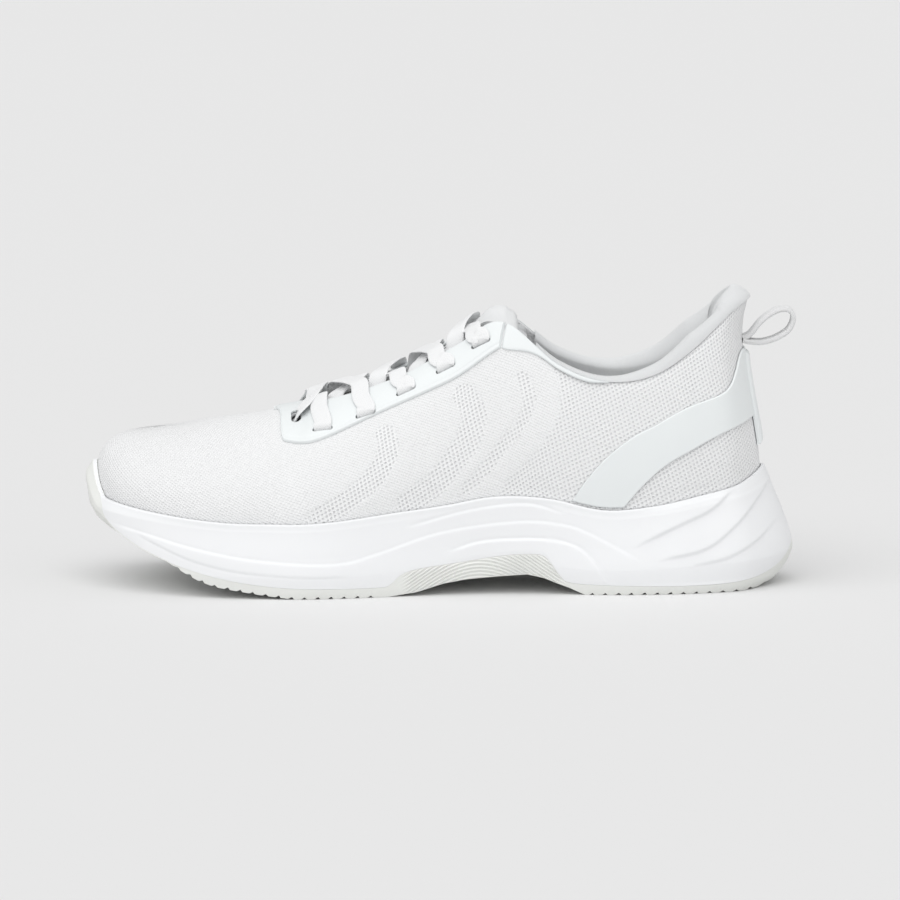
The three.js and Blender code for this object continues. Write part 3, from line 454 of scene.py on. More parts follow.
# Creases of the midsole's side: (x, z) lines, each with the depth of its groove and the height of its step.
CREASES = [
    ([(-136, 28.5), (-120, 25), (-103, 20.8), (-76, 16.4), (-43, 14.8), (-25, 18.8), (0.4, 26.6),
      (32.2, 30.7), (51.3, 29.6), (64, 25.5), (83, 15.5)], 0.2, -0.42, 8),
    ([(-126, 25), (-119, 21.5), (-104, 15.5), (-87, 11.6), (-70, 9.8), (-54, 9), (-38, 9)], 0.2, 0.4, 6),
    ([(-12.3, 29.5), (13.1, 35.8), (36, 38.3), (51.3, 34.5)], 0.3, -0.25, 4),
    ([(5, 19), (19.5, 22.9), (43.6, 23.5), (56.4, 21), (64, 15.3), (71.6, 5)], 0.35, -0.6, 6),
    ([(84.3, 21), (102, 29.3), (114.8, 35.2), (125, 44.7)], 0.3, 1.3, 12),
    ([(94.5, 14.7), (112.3, 18.9), (125, 28.2), (133.9, 37.3), (140.2, 44)], 0.3, 1.2, 10),
    ([(107.2, 11.9), (121.2, 14.7), (133.9, 20.9), (141.5, 26.9)], 0.3, 1, 8),
]


def wall(height):
    """Points of the sole's wall at the given share of the rim's height, one or more for each column."""
    h = np.asarray(height, float)
    order = np.argsort(WALL_HEIGHTS)
    levels = np.array(WALL_HEIGHTS)[order]
    i = np.clip(np.searchsorted(levels, h) - 1, 0, len(levels) - 2)
    t = np.clip((h - levels[i]) / (levels[i + 1] - levels[i]), 0, 1)
    column = np.arange(SOLE_COLUMNS)
    column = column if h.ndim == 1 else column[:, None]
    rows = [WALL_STEPS[column, np.clip(i + n, 0, len(levels) - 1)] for n in (-1, 0, 1, 2)]
    step = lerp(catmull(*rows, t), lerp(rows[1], rows[2], t), 0.35)
    top = smooth((h - 0.9) / 0.1)[..., None]
    spread = (lambda a: a) if h.ndim == 1 else (lambda a: a[:, None])
    base = lerp(spread(RIM_FOOT), spread(RIM), top)
    points = base + spread(OUTWARD) * (GAP + step)[..., None]
    points[..., 2] = spread(RIM[:, 2]) * h
    return points


def wall_share(outline):
    """The share of the rim's height where each column of the wall meets a side outline."""
    low, high = np.full(SOLE_COLUMNS, -0.08), np.ones(SOLE_COLUMNS)
    for _ in range(26):
        mid = (low + high) / 2
        p = wall(mid)
        above = p[:, 2] > outline(p)
        high = np.where(above, mid, high)
        low = np.where(above, low, mid)
    return (low + high) / 2


def ground(p):
    """Height of the tread under a point: flat, turned up at the toe in a round hull, with the arch."""
    toe = smooth((-92 - p[..., 0]) / 40)
    return along(GROUND, p[..., 0] - toe * p[..., 1]**2 / 110)


def line_distance(x, z, line):
    """Distance from points to a line, positive above it, and how far the points lie past its ends."""
    best = np.full(x.shape, 1e9)
    side = np.zeros(x.shape)
    for (x0, z0), (x1, z1) in zip(line, line[1:]):
        dx, dz = x1 - x0, z1 - z0
        length = math.hypot(dx, dz)
        t = np.clip(((x - x0) * dx + (z - z0) * dz) / length**2, 0, 1)
        px, pz = x - x0 - t * dx, z - z0 - t * dz
        distance = np.hypot(px, pz)
        near = distance < best
        side = np.where(near, np.sign(dx * pz - dz * px), side)
        best = np.minimum(best, distance)
    past = np.maximum(line[0][0] - x, x - line[-1][0])
    return best * side, past


def sculpt(points):
    """How far the midsole's wall stands out at each point."""
    x, z = points[..., 0], points[..., 2]
    total = np.zeros(x.shape)
    for line, groove, step, reach in CREASES:
        distance, past = line_distance(x, z, curved(line))
        fade = 1 - smooth((past + 8) / 12)
        total -= fade * groove * np.exp(-(distance / 0.7)**2)
        shelf = np.tanh(distance / 0.7) * np.exp(-np.abs(distance) / reach)
        total += fade * step * shelf / 2
    return total


def close_ring(faces, n, m, ring):
    """Closes one ring of a loft of m columns with n points each, straight across the shoe."""
    for i in range(m // 2):
        columns = (i, (m - i) % m, m - i - 1, i + 1)
        corners = tuple(dict.fromkeys(column * n + ring for column in columns))
        if len(corners) > 2:
            faces.append(corners)


def ring_loft(name, rings, maps=None, angle=40):
    """A closed solid through rings of points round the shoe, capped across it at both ends."""
    rings = np.asarray(rings, float)
    n, m = rings.shape[:2]
    faces = [tuple(f) for f in grid_faces(m, n, wrap=True)]
    points = rings.transpose(1, 0, 2).reshape(-1, 3)
    for ring in (0, n - 1):
        close_ring(faces, n, m, ring)
    return face_out(make_object(name, points, faces, maps, angle=angle))


def make_midsole():
    parting = np.minimum(wall_share(lambda p: along(PARTING, p[..., 0])) + 0.001, 0.985)
    floor = off(sole_s, np.full_like(sole_s, -1), 0.5 * np.ones_like(sole_s))
    floor[:, 2] = bed_of(sole_s) - GAP
    cup = [off(sole_s, t * rim_v, np.full_like(sole_s, 0.5)) for t in (0, 0.5, 1)]
    lip = wall(np.full(SOLE_COLUMNS, 1.0))
    inner = lerp(cup[-1], lip, 0.5)
    inner[:, 2] = lip[:, 2]
    shares = lerp(parting[:, None], 0.985, np.linspace(0, 1, 84)[None, :])
    side = wall(shares)
    # The creases fade out at the parting line and at the lip.
    reach = np.minimum(side[..., 2] - side[:, :1, 2], side[:, -1:, 2] - side[..., 2])
    side = side + OUTWARD[:, None] * (sculpt(side) * smooth(reach / 1.6))[..., None]
    rings = [floor, *cup, inner, lerp(inner, lip, 0.6), *side.transpose(1, 0, 2)[::-1]]
    piece = ring_loft("midsole_shape", rings)
    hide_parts("midsole")
    return piece


def lug(p):
    """Depth of the tread's grooves under a point, from 0 on a lug to LUG_DEPTH."""
    x, y = p[..., 0], p[..., 1]
    lean = x + 0.12 * np.abs(y)
    t = np.mod(lean, LUG_PITCH) / LUG_PITCH
    across = smooth((t - 0.55) / 0.36) * (1 - smooth((t - 0.93) / 0.05))
    middle = 1 - smooth((np.abs(y + 1) - 2.2) / 0.6)
    treaded = np.maximum(smooth((x + 117) / 3) * (1 - smooth((x + 27) / 3)),
                         smooth((x - 60) / 3) * (1 - smooth((x - 136) / 3)))
    return LUG_DEPTH * treaded * np.maximum(across, middle)


def ribs(points, share):
    """Fine ribs on the arch's side of the outsole, fanned over its bow."""
    x, z = points[..., 0], points[..., 2]
    place = smooth((x + 17) / 6) * (1 - smooth((x - 49) / 5))
    bow = 30 * np.exp(-((x - 17) / 38)**2)
    turns = 2 * np.pi * (z - bow) / 1.5
    return 0.32 * place * np.cos(turns) * smooth(share / 0.05) * smooth((1 - share) / 0.08)


def make_outsole():
    parting = np.minimum(wall_share(lambda p: along(PARTING, p[..., 0])) - 0.001, 1)
    bottom = np.minimum(wall_share(lambda p: ground(p) + lug(p)), parting - 0.002)
    share = np.linspace(0, 1, 81)[None, :]
    side = wall(lerp(bottom[:, None], parting[:, None], share))
    side = side + OUTWARD[:, None] * ribs(side, share)[..., None]
    edge = side[:, 0] - OUTWARD * 0.5
    side[:, 0] += np.array([0, 0, 0.45])
    lip = side[:, -1]
    inner = lip - OUTWARD * 2
    deep = inner.copy()
    deep[:, 2] = np.minimum(inner[:, 2], ground(inner) + 2.4)
    rings = [edge, *side.transpose(1, 0, 2), inner, deep]
    n, half, across = len(rings), SOLE_COLUMNS // 2, 48
    body = np.asarray(rings).transpose(1, 0, 2).reshape(-1, 3)
    faces = [tuple(f) for f in grid_faces(SOLE_COLUMNS, n, wrap=True)]
    close_ring(faces, n, SOLE_COLUMNS, n - 1)
    points = body.tolist()
    rows = []
    for i in range(half + 1):
        if TWIN[i] == i:
            rows.append([i * n] * (across + 1))
            continue
        start = len(points)
        t = np.linspace(0, 1, across + 1)[1:-1, None]
        line = lerp(edge[i], edge[TWIN[i]], t)
        line[:, 2] = ground(line) + lug(line)
        points.extend(line.tolist())
        rows.append([i * n, *range(start, start + across - 1), TWIN[i] * n])
    for a, b in zip(rows, rows[1:]):
        for j in range(across):
            corners = tuple(dict.fromkeys([a[j], a[j + 1], b[j + 1], b[j]]))
            if len(corners) > 2:
                faces.append(corners)
    piece = face_out(make_object("outsole_shape", points, faces, angle=35))
    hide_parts("outsole")
    return piece


# ---- knitted upper ----
SLIT_PLACES = [locate(point) for point in SLITS]
FRONT_PLACE = locate(FRONT_SLOT)

# Open-mesh bands of the knit's outer and inner quarters: the middle line from the top down as (x, z).
BANDS = [
    [(-22, 66), (-21, 60), (-25, 52), (-33, 44), (-43, 37), (-52, 32)],
    [(11, 82), (15, 75), (12, 64), (5, 54), (-2, 46), (-13, 38)],
    [(35, 90), (38, 82), (35, 72), (27, 62), (19, 52), (12, 44)],
]
BAND_WIDTHS = [7.5, 9, 4]
REAR_MESH = [(22, 38), (30, 50), (40, 60), (48, 72), (50, 84), (47, 96)]


def band_depth(points):
    """Low relief of the knit's zones: open-mesh bands lie a little lower than the dense knit."""
    x, z = points[..., 0], points[..., 2]
    total = np.zeros(x.shape)
    for line, width in zip(BANDS, BAND_WIDTHS):
        distance, past = line_distance(x, z, curved(line))
        total += 1 - smooth((np.abs(distance) - width / 2) / 1.2)
    distance, _ = line_distance(x, z, curved(REAR_MESH))
    total += smooth(-distance / 1.5) * (x > 10)
    vamp = smooth((x + 60) / 10)
    return np.clip(total, 0, 1) * vamp


def slit_cutter(s, v, length, width, turned):
    """Corner points of a stadium prism along the surface's normal at (s, v)."""
    centre, n = surface(s, v), normal(s, v)
    run = unit(surface(s + 0.05, v) - surface(s - 0.05, v))
    side = np.cross(n, run)
    if turned:
        run, side = side, run
    radius = width / 2
    outline = []
    for end in (1, -1):
        for k in range(9):
            angle = math.radians(-90 + 22.5 * k)
            reach = length / 2 - radius + radius * math.cos(angle)
            outline.append((end * reach, end * radius * math.sin(angle)))
    rows = [[centre + run * a + side * b + n * d for a, b in outline] for d in (-6, 6)]
    return np.array(rows)


def make_cutter():
    points, faces = [], []
    slits = [(*place, *SLIT_SIZE, False) for place in SLIT_PLACES] + [(*FRONT_PLACE, *FRONT_SIZE, True)]
    for mirrored in (False, True):
        for s, v, length, width, turned in slits:
            rows = slit_cutter(ROUND - s if mirrored else s, v, length, width, turned)
            start, m = len(points), rows.shape[1]
            points.extend(rows.reshape(-1, 3).tolist())
            for j in range(m):
                k = (j + 1) % m
                faces.append((start + j, start + k, start + m + k, start + m + j))
            faces.append(tuple(start + j for j in reversed(range(m))))
            faces.append(tuple(start + m + j for j in range(m)))
    return face_out(make_object("slit_cutter", points, faces, body=None, angle=0))


def cut(piece, cutter):
    """Cuts the lace slits out of a piece."""
    modifier = piece.modifiers.new("slits", "BOOLEAN")
    modifier.object = cutter
    modifier.operation = "DIFFERENCE"
    modifier.solver = "MANIFOLD"
    bpy.context.view_layer.objects.active = piece
    bpy.ops.object.modifier_apply(modifier=modifier.name)


def make_knit(cutter):
    s = np.linspace(0, ROUND, 513)[:, None]
    v = np.concatenate([np.linspace(-0.94, 0, 10)[:-1], np.linspace(0, 1, 84)])[None, :]
    s, v = np.broadcast_arrays(s, v)
    points, normals = surface(s, v), normal(s, v)
    # All columns meet at the ridge's end, where the surface has one common direction.
    near_end = smooth((v - 0.88) / 0.1) * smooth((folded(s) - 13.5) / 1)
    normals = unit(lerp(normals, np.array([-0.12, 0, 1]), near_end[..., None]))
    open_mesh = band_depth(points)
    sunk = 0.3 * open_mesh * smooth(v / 0.05)
    base = points - normals * KNIT
    edge = 0.5 * (1 - smooth((1 - v) * 14)) * (folded(s) < THROAT)
    vamp = 1 - smooth((points[..., 0] + 34 - 0.35 * (points[..., 2] - 60)) / 6)
    piece = slab("knit_shape", base, normals, 0, KNIT - sunk - edge, round_maps(s, v, points),
                 {"open_mesh": open_mesh, "vamp": vamp}, angle=0)
    cut(piece, cutter)
    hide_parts("knit_upper")
    return piece


def make_vamp_lining():
    s = np.linspace(5.6, ROUND - 5.6, 241)[:, None]
    top = lerp(0.62, 1, smooth((folded(s) - 11.4) / 0.9))
    v = lerp(np.full_like(s, -0.88), top, np.linspace(0, 1, 41)[None, :])
    s = np.broadcast_to(s, v.shape)
    points, normals = surface(s, v), normal(s, v)
    piece = slab("vamp_lining_shape", points, normals, LINING_IN, LINING_IN + LINING,
                 round_maps(s, v, points))
    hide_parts("vamp_lining")
    return piece


# ---- lace facing, bindings and heel straps ----
FACING_START = 5.95
FACING_FRONT = 11.55
BINDING_START = 5.93
BINDING_END = 3.95
STRAP_REACH = 4.75
STRAP_START = 0.1


def facing_edge(s):
    k = folded(s)
    round_front = smooth((k - (FACING_FRONT - 0.5)) / 0.5)**2
    return lerp(crossing(k, FACING_EDGE), 0.985, round_front)


def make_facing(cutter):
    half = np.concatenate([np.linspace(FACING_START, FACING_FRONT - 0.5, 150)[:-1],
                           FACING_FRONT - 0.5 * (1 - np.linspace(0, 1, 40)**0.6)])
    inner = ROUND - half[::-1]
    columns = np.concatenate([half, inner])
    # A shallow welded line runs inside the facing's lower edge.
    def weld(points):
        up = lengths(points, 1)
        return -0.18 * np.exp(-((up - 2.2) / 0.5)**2)
    piece = strip("facing_shape", columns, facing_edge, lambda s: np.ones_like(s), 64,
                  STRAP_IN, STRAP_OUT - STRAP_IN, 0.8, bulge=weld)
    cut(piece, cutter)
    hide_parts("lace_facing")
    return piece


def make_bindings():
    pieces = []
    corner = 1 - float(facing_edge(np.array([FACING_START]))[0])
    for name, start, end in (("collar_binding_lateral", BINDING_END, BINDING_START),
                             ("collar_binding_medial", -BINDING_START, -BINDING_END)):
        columns = np.linspace(start, end, 90)
        def low(s):
            narrow = lerp(0.01, 0.035, smooth((np.abs(s) - BINDING_END) / 0.5))
            return 1 - lerp(narrow, corner, smooth((np.abs(s) - 5.1) / 0.83)**1.4)
        piece = strip(name + "_shape", columns, low, lambda s: np.full_like(s, 1.0), 12, STRAP_IN, 0.9, 0.5)
        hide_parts(name)
        pieces.append(piece)
    return pieces


def make_straps():
    pieces = []
    for name, start, end in (("heel_strap_lateral", STRAP_START, STRAP_REACH),
                             ("heel_strap_medial", ROUND - STRAP_REACH, ROUND - STRAP_START)):
        columns = np.linspace(start, end, 200)
        piece = strip(name + "_shape", columns,
                      lambda s: np.maximum(0.02, crossing(folded(s), STRAP_FOOT)),
                      lambda s: np.maximum(crossing(folded(s), STRAP_TOP), 0.021), 40, STRAP_IN, 0.85, 0.6)
        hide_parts(name)
        pieces.append(piece)
    return pieces


STRIP_EDGE = 1.05
STRIP_CROWN = 1.3


def make_back_strip():
    """The raised strip down the middle of the heel, thick at its middle and rounded at its ends."""
    s = np.linspace(-0.24, 0.24, 33)[:, None]
    v = lerp(0.16, 0.66, eased(70))[None, :]
    s, v = np.broadcast_arrays(s, v)
    points, normals = surface(s, v), normal(s, v)
    face = STRIP_EDGE + rounded(points, STRIP_CROWN, 2.4)
    piece = slab("heel_back_strip_shape", points, normals, STRAP_IN, face, flow_map(points))
    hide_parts("heel_back_strip")
    return piece


# ---- padded collar ----
CREST = [(0, 2.1), (1, 5.2), (2, 8), (3, 5.2), (4, 2.8), (5, 2.4), (6, 2.2)]
PAD = [(0, 9), (1, 9.5), (2, 9), (3, 8), (4, 6.5), (5, 5.4), (6, 5)]
PAD_START = 0.3
COLLAR_END = 5.4


def pad_depth(s, v):
    return lerp(-LINING_IN, smooth_along(PAD, np.abs(s)), smooth((v - PAD_START) / (1 - PAD_START)))


def collar_face(s, w):
    """The lining's face: w up to 1 is v inside the shoe, and w from 1 to 2 goes over the crest."""
    v = np.minimum(w, 1)
    inside = off(s, v, -pad_depth(s, v))
    edge = surface(s, np.ones_like(w))
    inner = off(s, np.ones_like(w), -pad_depth(s, np.ones_like(w)))
    angle = np.pi * np.clip(w - 1, 0, 1)
    rise = smooth_along(CREST, np.abs(s))
    crest = (edge + inner) / 2 - (edge - inner) / 2 * np.cos(angle)[..., None]
    crest[..., 2] += np.sin(angle) * rise + 0.1 * smooth(angle)
    return np.where((w <= 1)[..., None], inside, crest)


def make_collar():
    """Foam and lining as one stuffed roll: the lining inside and over the crest, closed at the knit."""
    s = np.linspace(-COLLAR_END, COLLAR_END, 260)[:, None]
    rows = [np.linspace(-0.88, 0, 14)[:-1], np.linspace(0, 1, 50)[:-1], np.linspace(1, 2, 26)]
    w = np.concatenate(rows)[None, :]
    s, w = np.broadcast_arrays(s, w)
    face = collar_face(s, w)
    # Quilting: the heel pockets swell on both sides of the seam that runs round inside the collar.
    across = unit(np.cross(np.gradient(face, axis=0), np.gradient(face, axis=1)))
    seam = 0.62 + 0.06 * np.cos(np.clip(s / 3.2, -1, 1) * np.pi)
    groove = np.exp(-((w - seam) / 0.03)**2)
    swell = smooth((w - seam) / 0.2) * (1 - smooth((w - 0.92) / 0.4)) * (1 - smooth((np.abs(s) - 3.4) / 1.2))
    face = face + across * (0.9 * swell - 0.5 * groove)[..., None]
    back = np.clip(w, -0.88, 1)
    end = np.clip(w - 1, 0, 1)
    base = off(s, back, np.full_like(s, -KNIT - GAP))
    base = lerp(base, off(s, np.ones_like(s), np.full_like(s, -KNIT - 0.1)), smooth(end)[..., None])
    piece = slab("collar_pad", face, base - face, 0, 1, flow_map(face))
    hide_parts("collar_lining", "collar_foam")
    return piece


# ---- tongue ----
TONGUE_TIP = 5.65
TONGUE_BASE = 12.5
TONGUE_RISE = [(5.6, 4.2), (6, 6), (6.3, 6), (6.7, 2.6), (7.1, 0), (8, -1), (9, -2), (10, -4),
               (11, TONGUE_TOP - 0.4), (11.5, TONGUE_TOP - 0.9), (13, TONGUE_TOP - 0.9)]


def spline(points, count):
    """count + 1 points on a smooth curve through points, evenly spread over its control points."""
    points = np.asarray(points, float)
    ends = [2 * points[0] - points[1], *points, 2 * points[-1] - points[-2]]
    rows = []
    for t in np.linspace(0, len(points) - 1, count + 1):
        i = min(int(t), len(points) - 2)
        rows.append(catmull(*ends[i:i + 4], t - i))
    return np.array(rows)


def tongue_section(s):
    """Points across the tongue's top face at station s, from the outer to the inner side."""
    edge = surface(s, 1.0)
    rise = sum(float(along(TONGUE_RISE, s + step)) for step in (-0.35, 0, 0.35)) / 3
    middle = np.array([edge[0], 0, edge[2] + rise])
    low = lerp(0.9, 0.8, float(smooth((s - TONGUE_TIP) / 3)))
    tip = lerp(1.15, 1, float(smooth((s - TONGUE_TIP) / 1.5)))
    depth = TONGUE_TOP * tip - 0.9 * float(smooth((s - 10.6) / 0.8))
    wing = [off(s, lerp(low, 1, part), depth) for part in (0, 0.45, 0.88)]
    flip = np.array([1, -1, 1])
    return spline([*wing, middle, *[p * flip for p in reversed(wing)]], 40)


def make_tongue():
    """Face, foam and lining as one stuffed pad, thin at its borders, with a bound edge."""
    s = np.linspace(TONGUE_TIP, TONGUE_BASE, 130)
    face = np.array([tongue_section(k) for k in s])
    normals = -unit(np.cross(np.gradient(face, axis=0), np.gradient(face, axis=1)))
    if normals[..., 2].mean() < 0:
        normals = -normals
    across = np.linspace(-1, 1, face.shape[1])[None, :]
    thick = lerp(7.2, 4.2, smooth((s - 8) / 4))[:, None]
    from_tip = lengths(face, 0)
    round_side = np.sqrt(np.clip(1 - np.clip((np.abs(across) - 0.72) / 0.28, 0, 1)**2, 0, 1))
    round_tip = np.sqrt(np.clip(1 - (1 - np.clip(from_tip / 5.5, 0, 1))**2, 0, 1))
    body = 0.22 + 0.78 * round_side * round_tip
    binding = np.exp(-((from_tip - 6.5) / 0.7)**2)
    quilt = np.exp(-((np.abs(across) - 0.55) / 0.035)**2) * smooth((from_tip - 8) / 4)
    high = -thick / 2 + thick / 2 * body - 0.5 * binding - 0.35 * quilt
    low = -thick / 2 - thick / 2 * body
    maps = {"flow": np.stack([from_tip, lengths(face, 1)], -1) * MM}
    piece = slab("tongue_pad", face, normals, low, high, maps, body="tongue")
    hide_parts("tongue_face", "tongue_foam", "tongue_lining")
    return piece


# ---- sockliner ----
def make_sockliner():
    s = (np.arange(320) * ROUND / 320)
    low = surface(s, np.full_like(s, -1.0)) + outward(s) * (LINING_IN - 1.1)
    rows = []
    for inset, height in ((0, 1.75), (0, 5.2), (0.5, 5.8), (1.6, 6.1), (3.5, 6.0), (7, 5.6), (12, 5.4)):
        ring = low - outward(s) * inset
        ring[:, 2] = bed_of(s) + height
        rows.append(ring)
    plan = np.asarray(rows)[..., :2].transpose(1, 0, 2).reshape(-1, 2)
    piece = ring_loft("sockliner_shape", rows, {"flow": plan * MM}, angle=50)
    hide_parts("sockliner")
    return piece


# ---- pull loop ----
LOOP_LINE = [(128.2, 103.6), (131.4, 105.2), (136.3, 111), (142.2, 115), (147.3, 115.6), (149.6, 112.4),
             (147.8, 107.2),
             (142.6, 103.6), (136.6, 101.8), (131.4, 102), (128.2, 102.6)]
LOOP_RIBS = 5
WEBBING_WIDTH = 10


def loop_section(centre, along_it):
    """Ring round the webbing: two faces with rounded ribs along it, and rounded borders."""
    up = np.array([-along_it[2], 0, along_it[0]])
    count = 8 * LOOP_RIBS
    ring = []
    for side in (1, -1):
        for k in range(count + 1):
            t = -1 + 2 * k / count
            rib = abs(math.cos(math.pi * (t + 1) / 2 * LOOP_RIBS + math.pi / 2))
            height = (0.78 + 0.28 * rib**0.7) * (1 - abs(t)**14)**0.5
            ring.append(centre + up * side * height + np.array([0, WEBBING_WIDTH / 2 * t * side, 0]))
    return ring


def make_loop():
    line = spline([(x, 0, z) for x, z in LOOP_LINE], 96)
    tangents = unit(np.gradient(line, axis=0))
    sections = [loop_section(p, t) for p, t in zip(line, tangents)]
    piece = tube("pull_loop_shape", sections, body="pull_loop", angle=0)
    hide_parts("pull_loop")
    return piece


# ---- lace ----
# How far toward the toe, in stations, the lace comes over the throat's edge from its slit, and how much
# higher its last crossing passes over the tongue.
LEAN = 0.3
LAST_LIFT = 1.6


def lace_point(s, v, d, along_girth=False):
    """A point of the lace's route on the upper, with the direction of its width."""
    if along_girth:
        across = surface(s, min(v + 0.04, 1)) - surface(s, v - 0.04)
    else:
        heelward = 0.25 if s > TOE else -0.25
        across = surface(s + heelward, v) - surface(s - heelward, v)
    return off(s, v, d), unit(across)


def slit_at(k, side):
    s, v = FRONT_PLACE if k == 0 else SLIT_PLACES[k - 1]
    return (ROUND - s if side else s), v


def through_slit(k, side):
    s, v = slit_at(k, side)
    way = [lace_point(s, v + 0.05, LACE_OVER), lace_point(s, v + 0.022, LACE_OVER - 0.2),
           lace_point(s, v + 0.004, 0.5), lace_point(s, v + 0.001, -1.8)]
    if k == len(SLITS):
        return [*way, lace_point(s, v - 0.03, LACE_UNDER - 1)]
    return [*way, lace_point(s, v + 0.014, LACE_UNDER + 0.3), lace_point(s, v + 0.05, LACE_UNDER)]


def crossing_route(k, side, is_over):
    """One crossing, from the throat's edge at slit k on one side to slit k + 1 on the other side."""
    edge_limit = 10.4
    s_from, _ = slit_at(k, side)
    s_to, v_to = slit_at(k + 1, 1 - side)
    a = min(float(folded(s_from)), edge_limit)
    toeward = float(folded(s_to))
    b = min(toeward + LEAN, edge_limit)
    c = min(toeward + 0.6 * LEAN, edge_limit)
    p0, w0 = lace_point(ROUND - a if side else a, 1.0, 0.0)
    p1, w1 = lace_point(b if side else ROUND - b, 1.0, 0.0)
    lift = LAST_LIFT if k == len(SLITS) - 1 else 0

    def between(t, height):
        return lerp(p0, p1, t) + np.array([0, 0, height]), unit(lerp(w0, w1, t))

    heights = (4.4, 5.4, 4.9, 4) if is_over else (0.9, 2, 2.8, 3.2)
    middle = [between(t, h + lift * math.sin(math.pi * t)) for t, h in zip((0.2, 0.5, 0.8, 0.96), heights)]
    start = between(-0.02, 3.7) if k == 0 else lace_point(ROUND - a if side else a, 0.97, LACE_UNDER)
    over_edge = lace_point(c if side else ROUND - c, lerp(v_to, 1, 0.6), LACE_OVER + 0.2)
    return [start, *middle, over_edge, *through_slit(k + 1, 1 - side)]


def front_route(side):
    s, v = FRONT_PLACE
    rows = [(0.3, 0.1, LACE_UNDER, False), (0.16, 0.01, LACE_UNDER, True), (0.03, 0, -1.2, True),
            (-0.03, 0, 1, True), (-0.18, 0.02, LACE_OVER + 0.9, True)]
    return [lace_point(ROUND - s - ds if side else s + ds, v + dv, d, turned) for ds, dv, d, turned in rows]


def tucked_route(side):
    depth = LINING_IN - GAP - LACE_THICK / 2 - 0.4
    way = [(6.75, 0.66), (7.3, 0.58), (8, 0.55), (8.8, 0.54), (9.6, 0.54)]
    return [lace_point(ROUND - s if side else s, v, depth, True) for s, v in way]


def lace_route():
    halves = []
    for side in (0, 1):
        route = front_route(side)
        for k in range(len(SLITS)):
            route += crossing_route(k, (side + k) % 2, side == 0)
        halves.append(route + tucked_route((side + len(SLITS)) % 2))
    return halves[0][::-1] + [lace_point(FRONT_PLACE[0] + 0.35, 1.0, LACE_UNDER)] + halves[1]


def centripetal(points, per_span):
    """Points on a centripetal Catmull-Rom curve, per_span for each span, with the span's number."""
    points = [2 * points[0] - points[1], *points, 2 * points[-1] - points[-2]]
    rows, places = [], []
    for i in range(1, len(points) - 2):
        p = points[i - 1:i + 3]
        k = [0.0]
        for a, b in zip(p, p[1:]):
            k.append(k[-1] + max(np.linalg.norm(b - a), 1e-4)**0.5)
        last = i == len(points) - 3
        for step in range(per_span + (1 if last else 0)):
            t = lerp(k[1], k[2], step / per_span)
            # Three rounds of blending neighbours: over one span, over two, and over the middle one.
            level = [lerp(p[j], p[j + 1], (t - k[j]) / (k[j + 1] - k[j])) for j in range(3)]
            level = [lerp(level[j], level[j + 1], (t - k[j]) / (k[j + 2] - k[j])) for j in range(2)]
            rows.append(lerp(*level, (t - k[1]) / (k[2] - k[1])))
            places.append(i - 1 + step / per_span)
    return np.array(rows), np.array(places)


def lace_section(width, thick):
    """Cross-section of a flat tubular lace: two flat faces, a hollow line down the middle, round borders."""
    outline = []
    for k in range(32):
        angle = 2 * math.pi * k / 32
        c, s = math.cos(angle), math.sin(angle)
        x = math.copysign(abs(c)**0.55, c)
        y = math.copysign(abs(s)**0.8, s) * (1 - 0.16 * math.exp(-(x / 0.16)**2))
        outline.append((x * width / 2, y * thick / 2))
    return outline


def make_lace():
    route = lace_route()
    line, places = centripetal([p for p, _ in route], 9)
    tangents = unit(np.gradient(line, axis=0))
    outline = lace_section(LACE_WIDTH, LACE_THICK)
    last, sections = None, []
    widths = []
    for t, place in zip(tangents, places):
        i = min(int(place), len(route) - 2)
        wanted = [route[i][1], route[i + 1][1]]
        if last is not None:
            wanted = [w if np.dot(w, last) > 0 else -w for w in wanted]
        across = lerp(*wanted, float(smooth(place - i)))
        last = unit(across - t * np.dot(across, t))
        widths.append(last)
    widths = np.array(widths)
    for _ in range(6):
        widths[1:-1] = unit(widths[:-2] + 2 * widths[1:-1] + widths[2:])
    for p, t, across in zip(line, tangents, widths):
        across = unit(across - t * np.dot(across, t))
        up = np.cross(across, t)
        sections.append([p + across * x + up * y for x, y in outline])
    piece = tube("lace_shape", sections, angle=0)
    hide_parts("lace")
    return piece


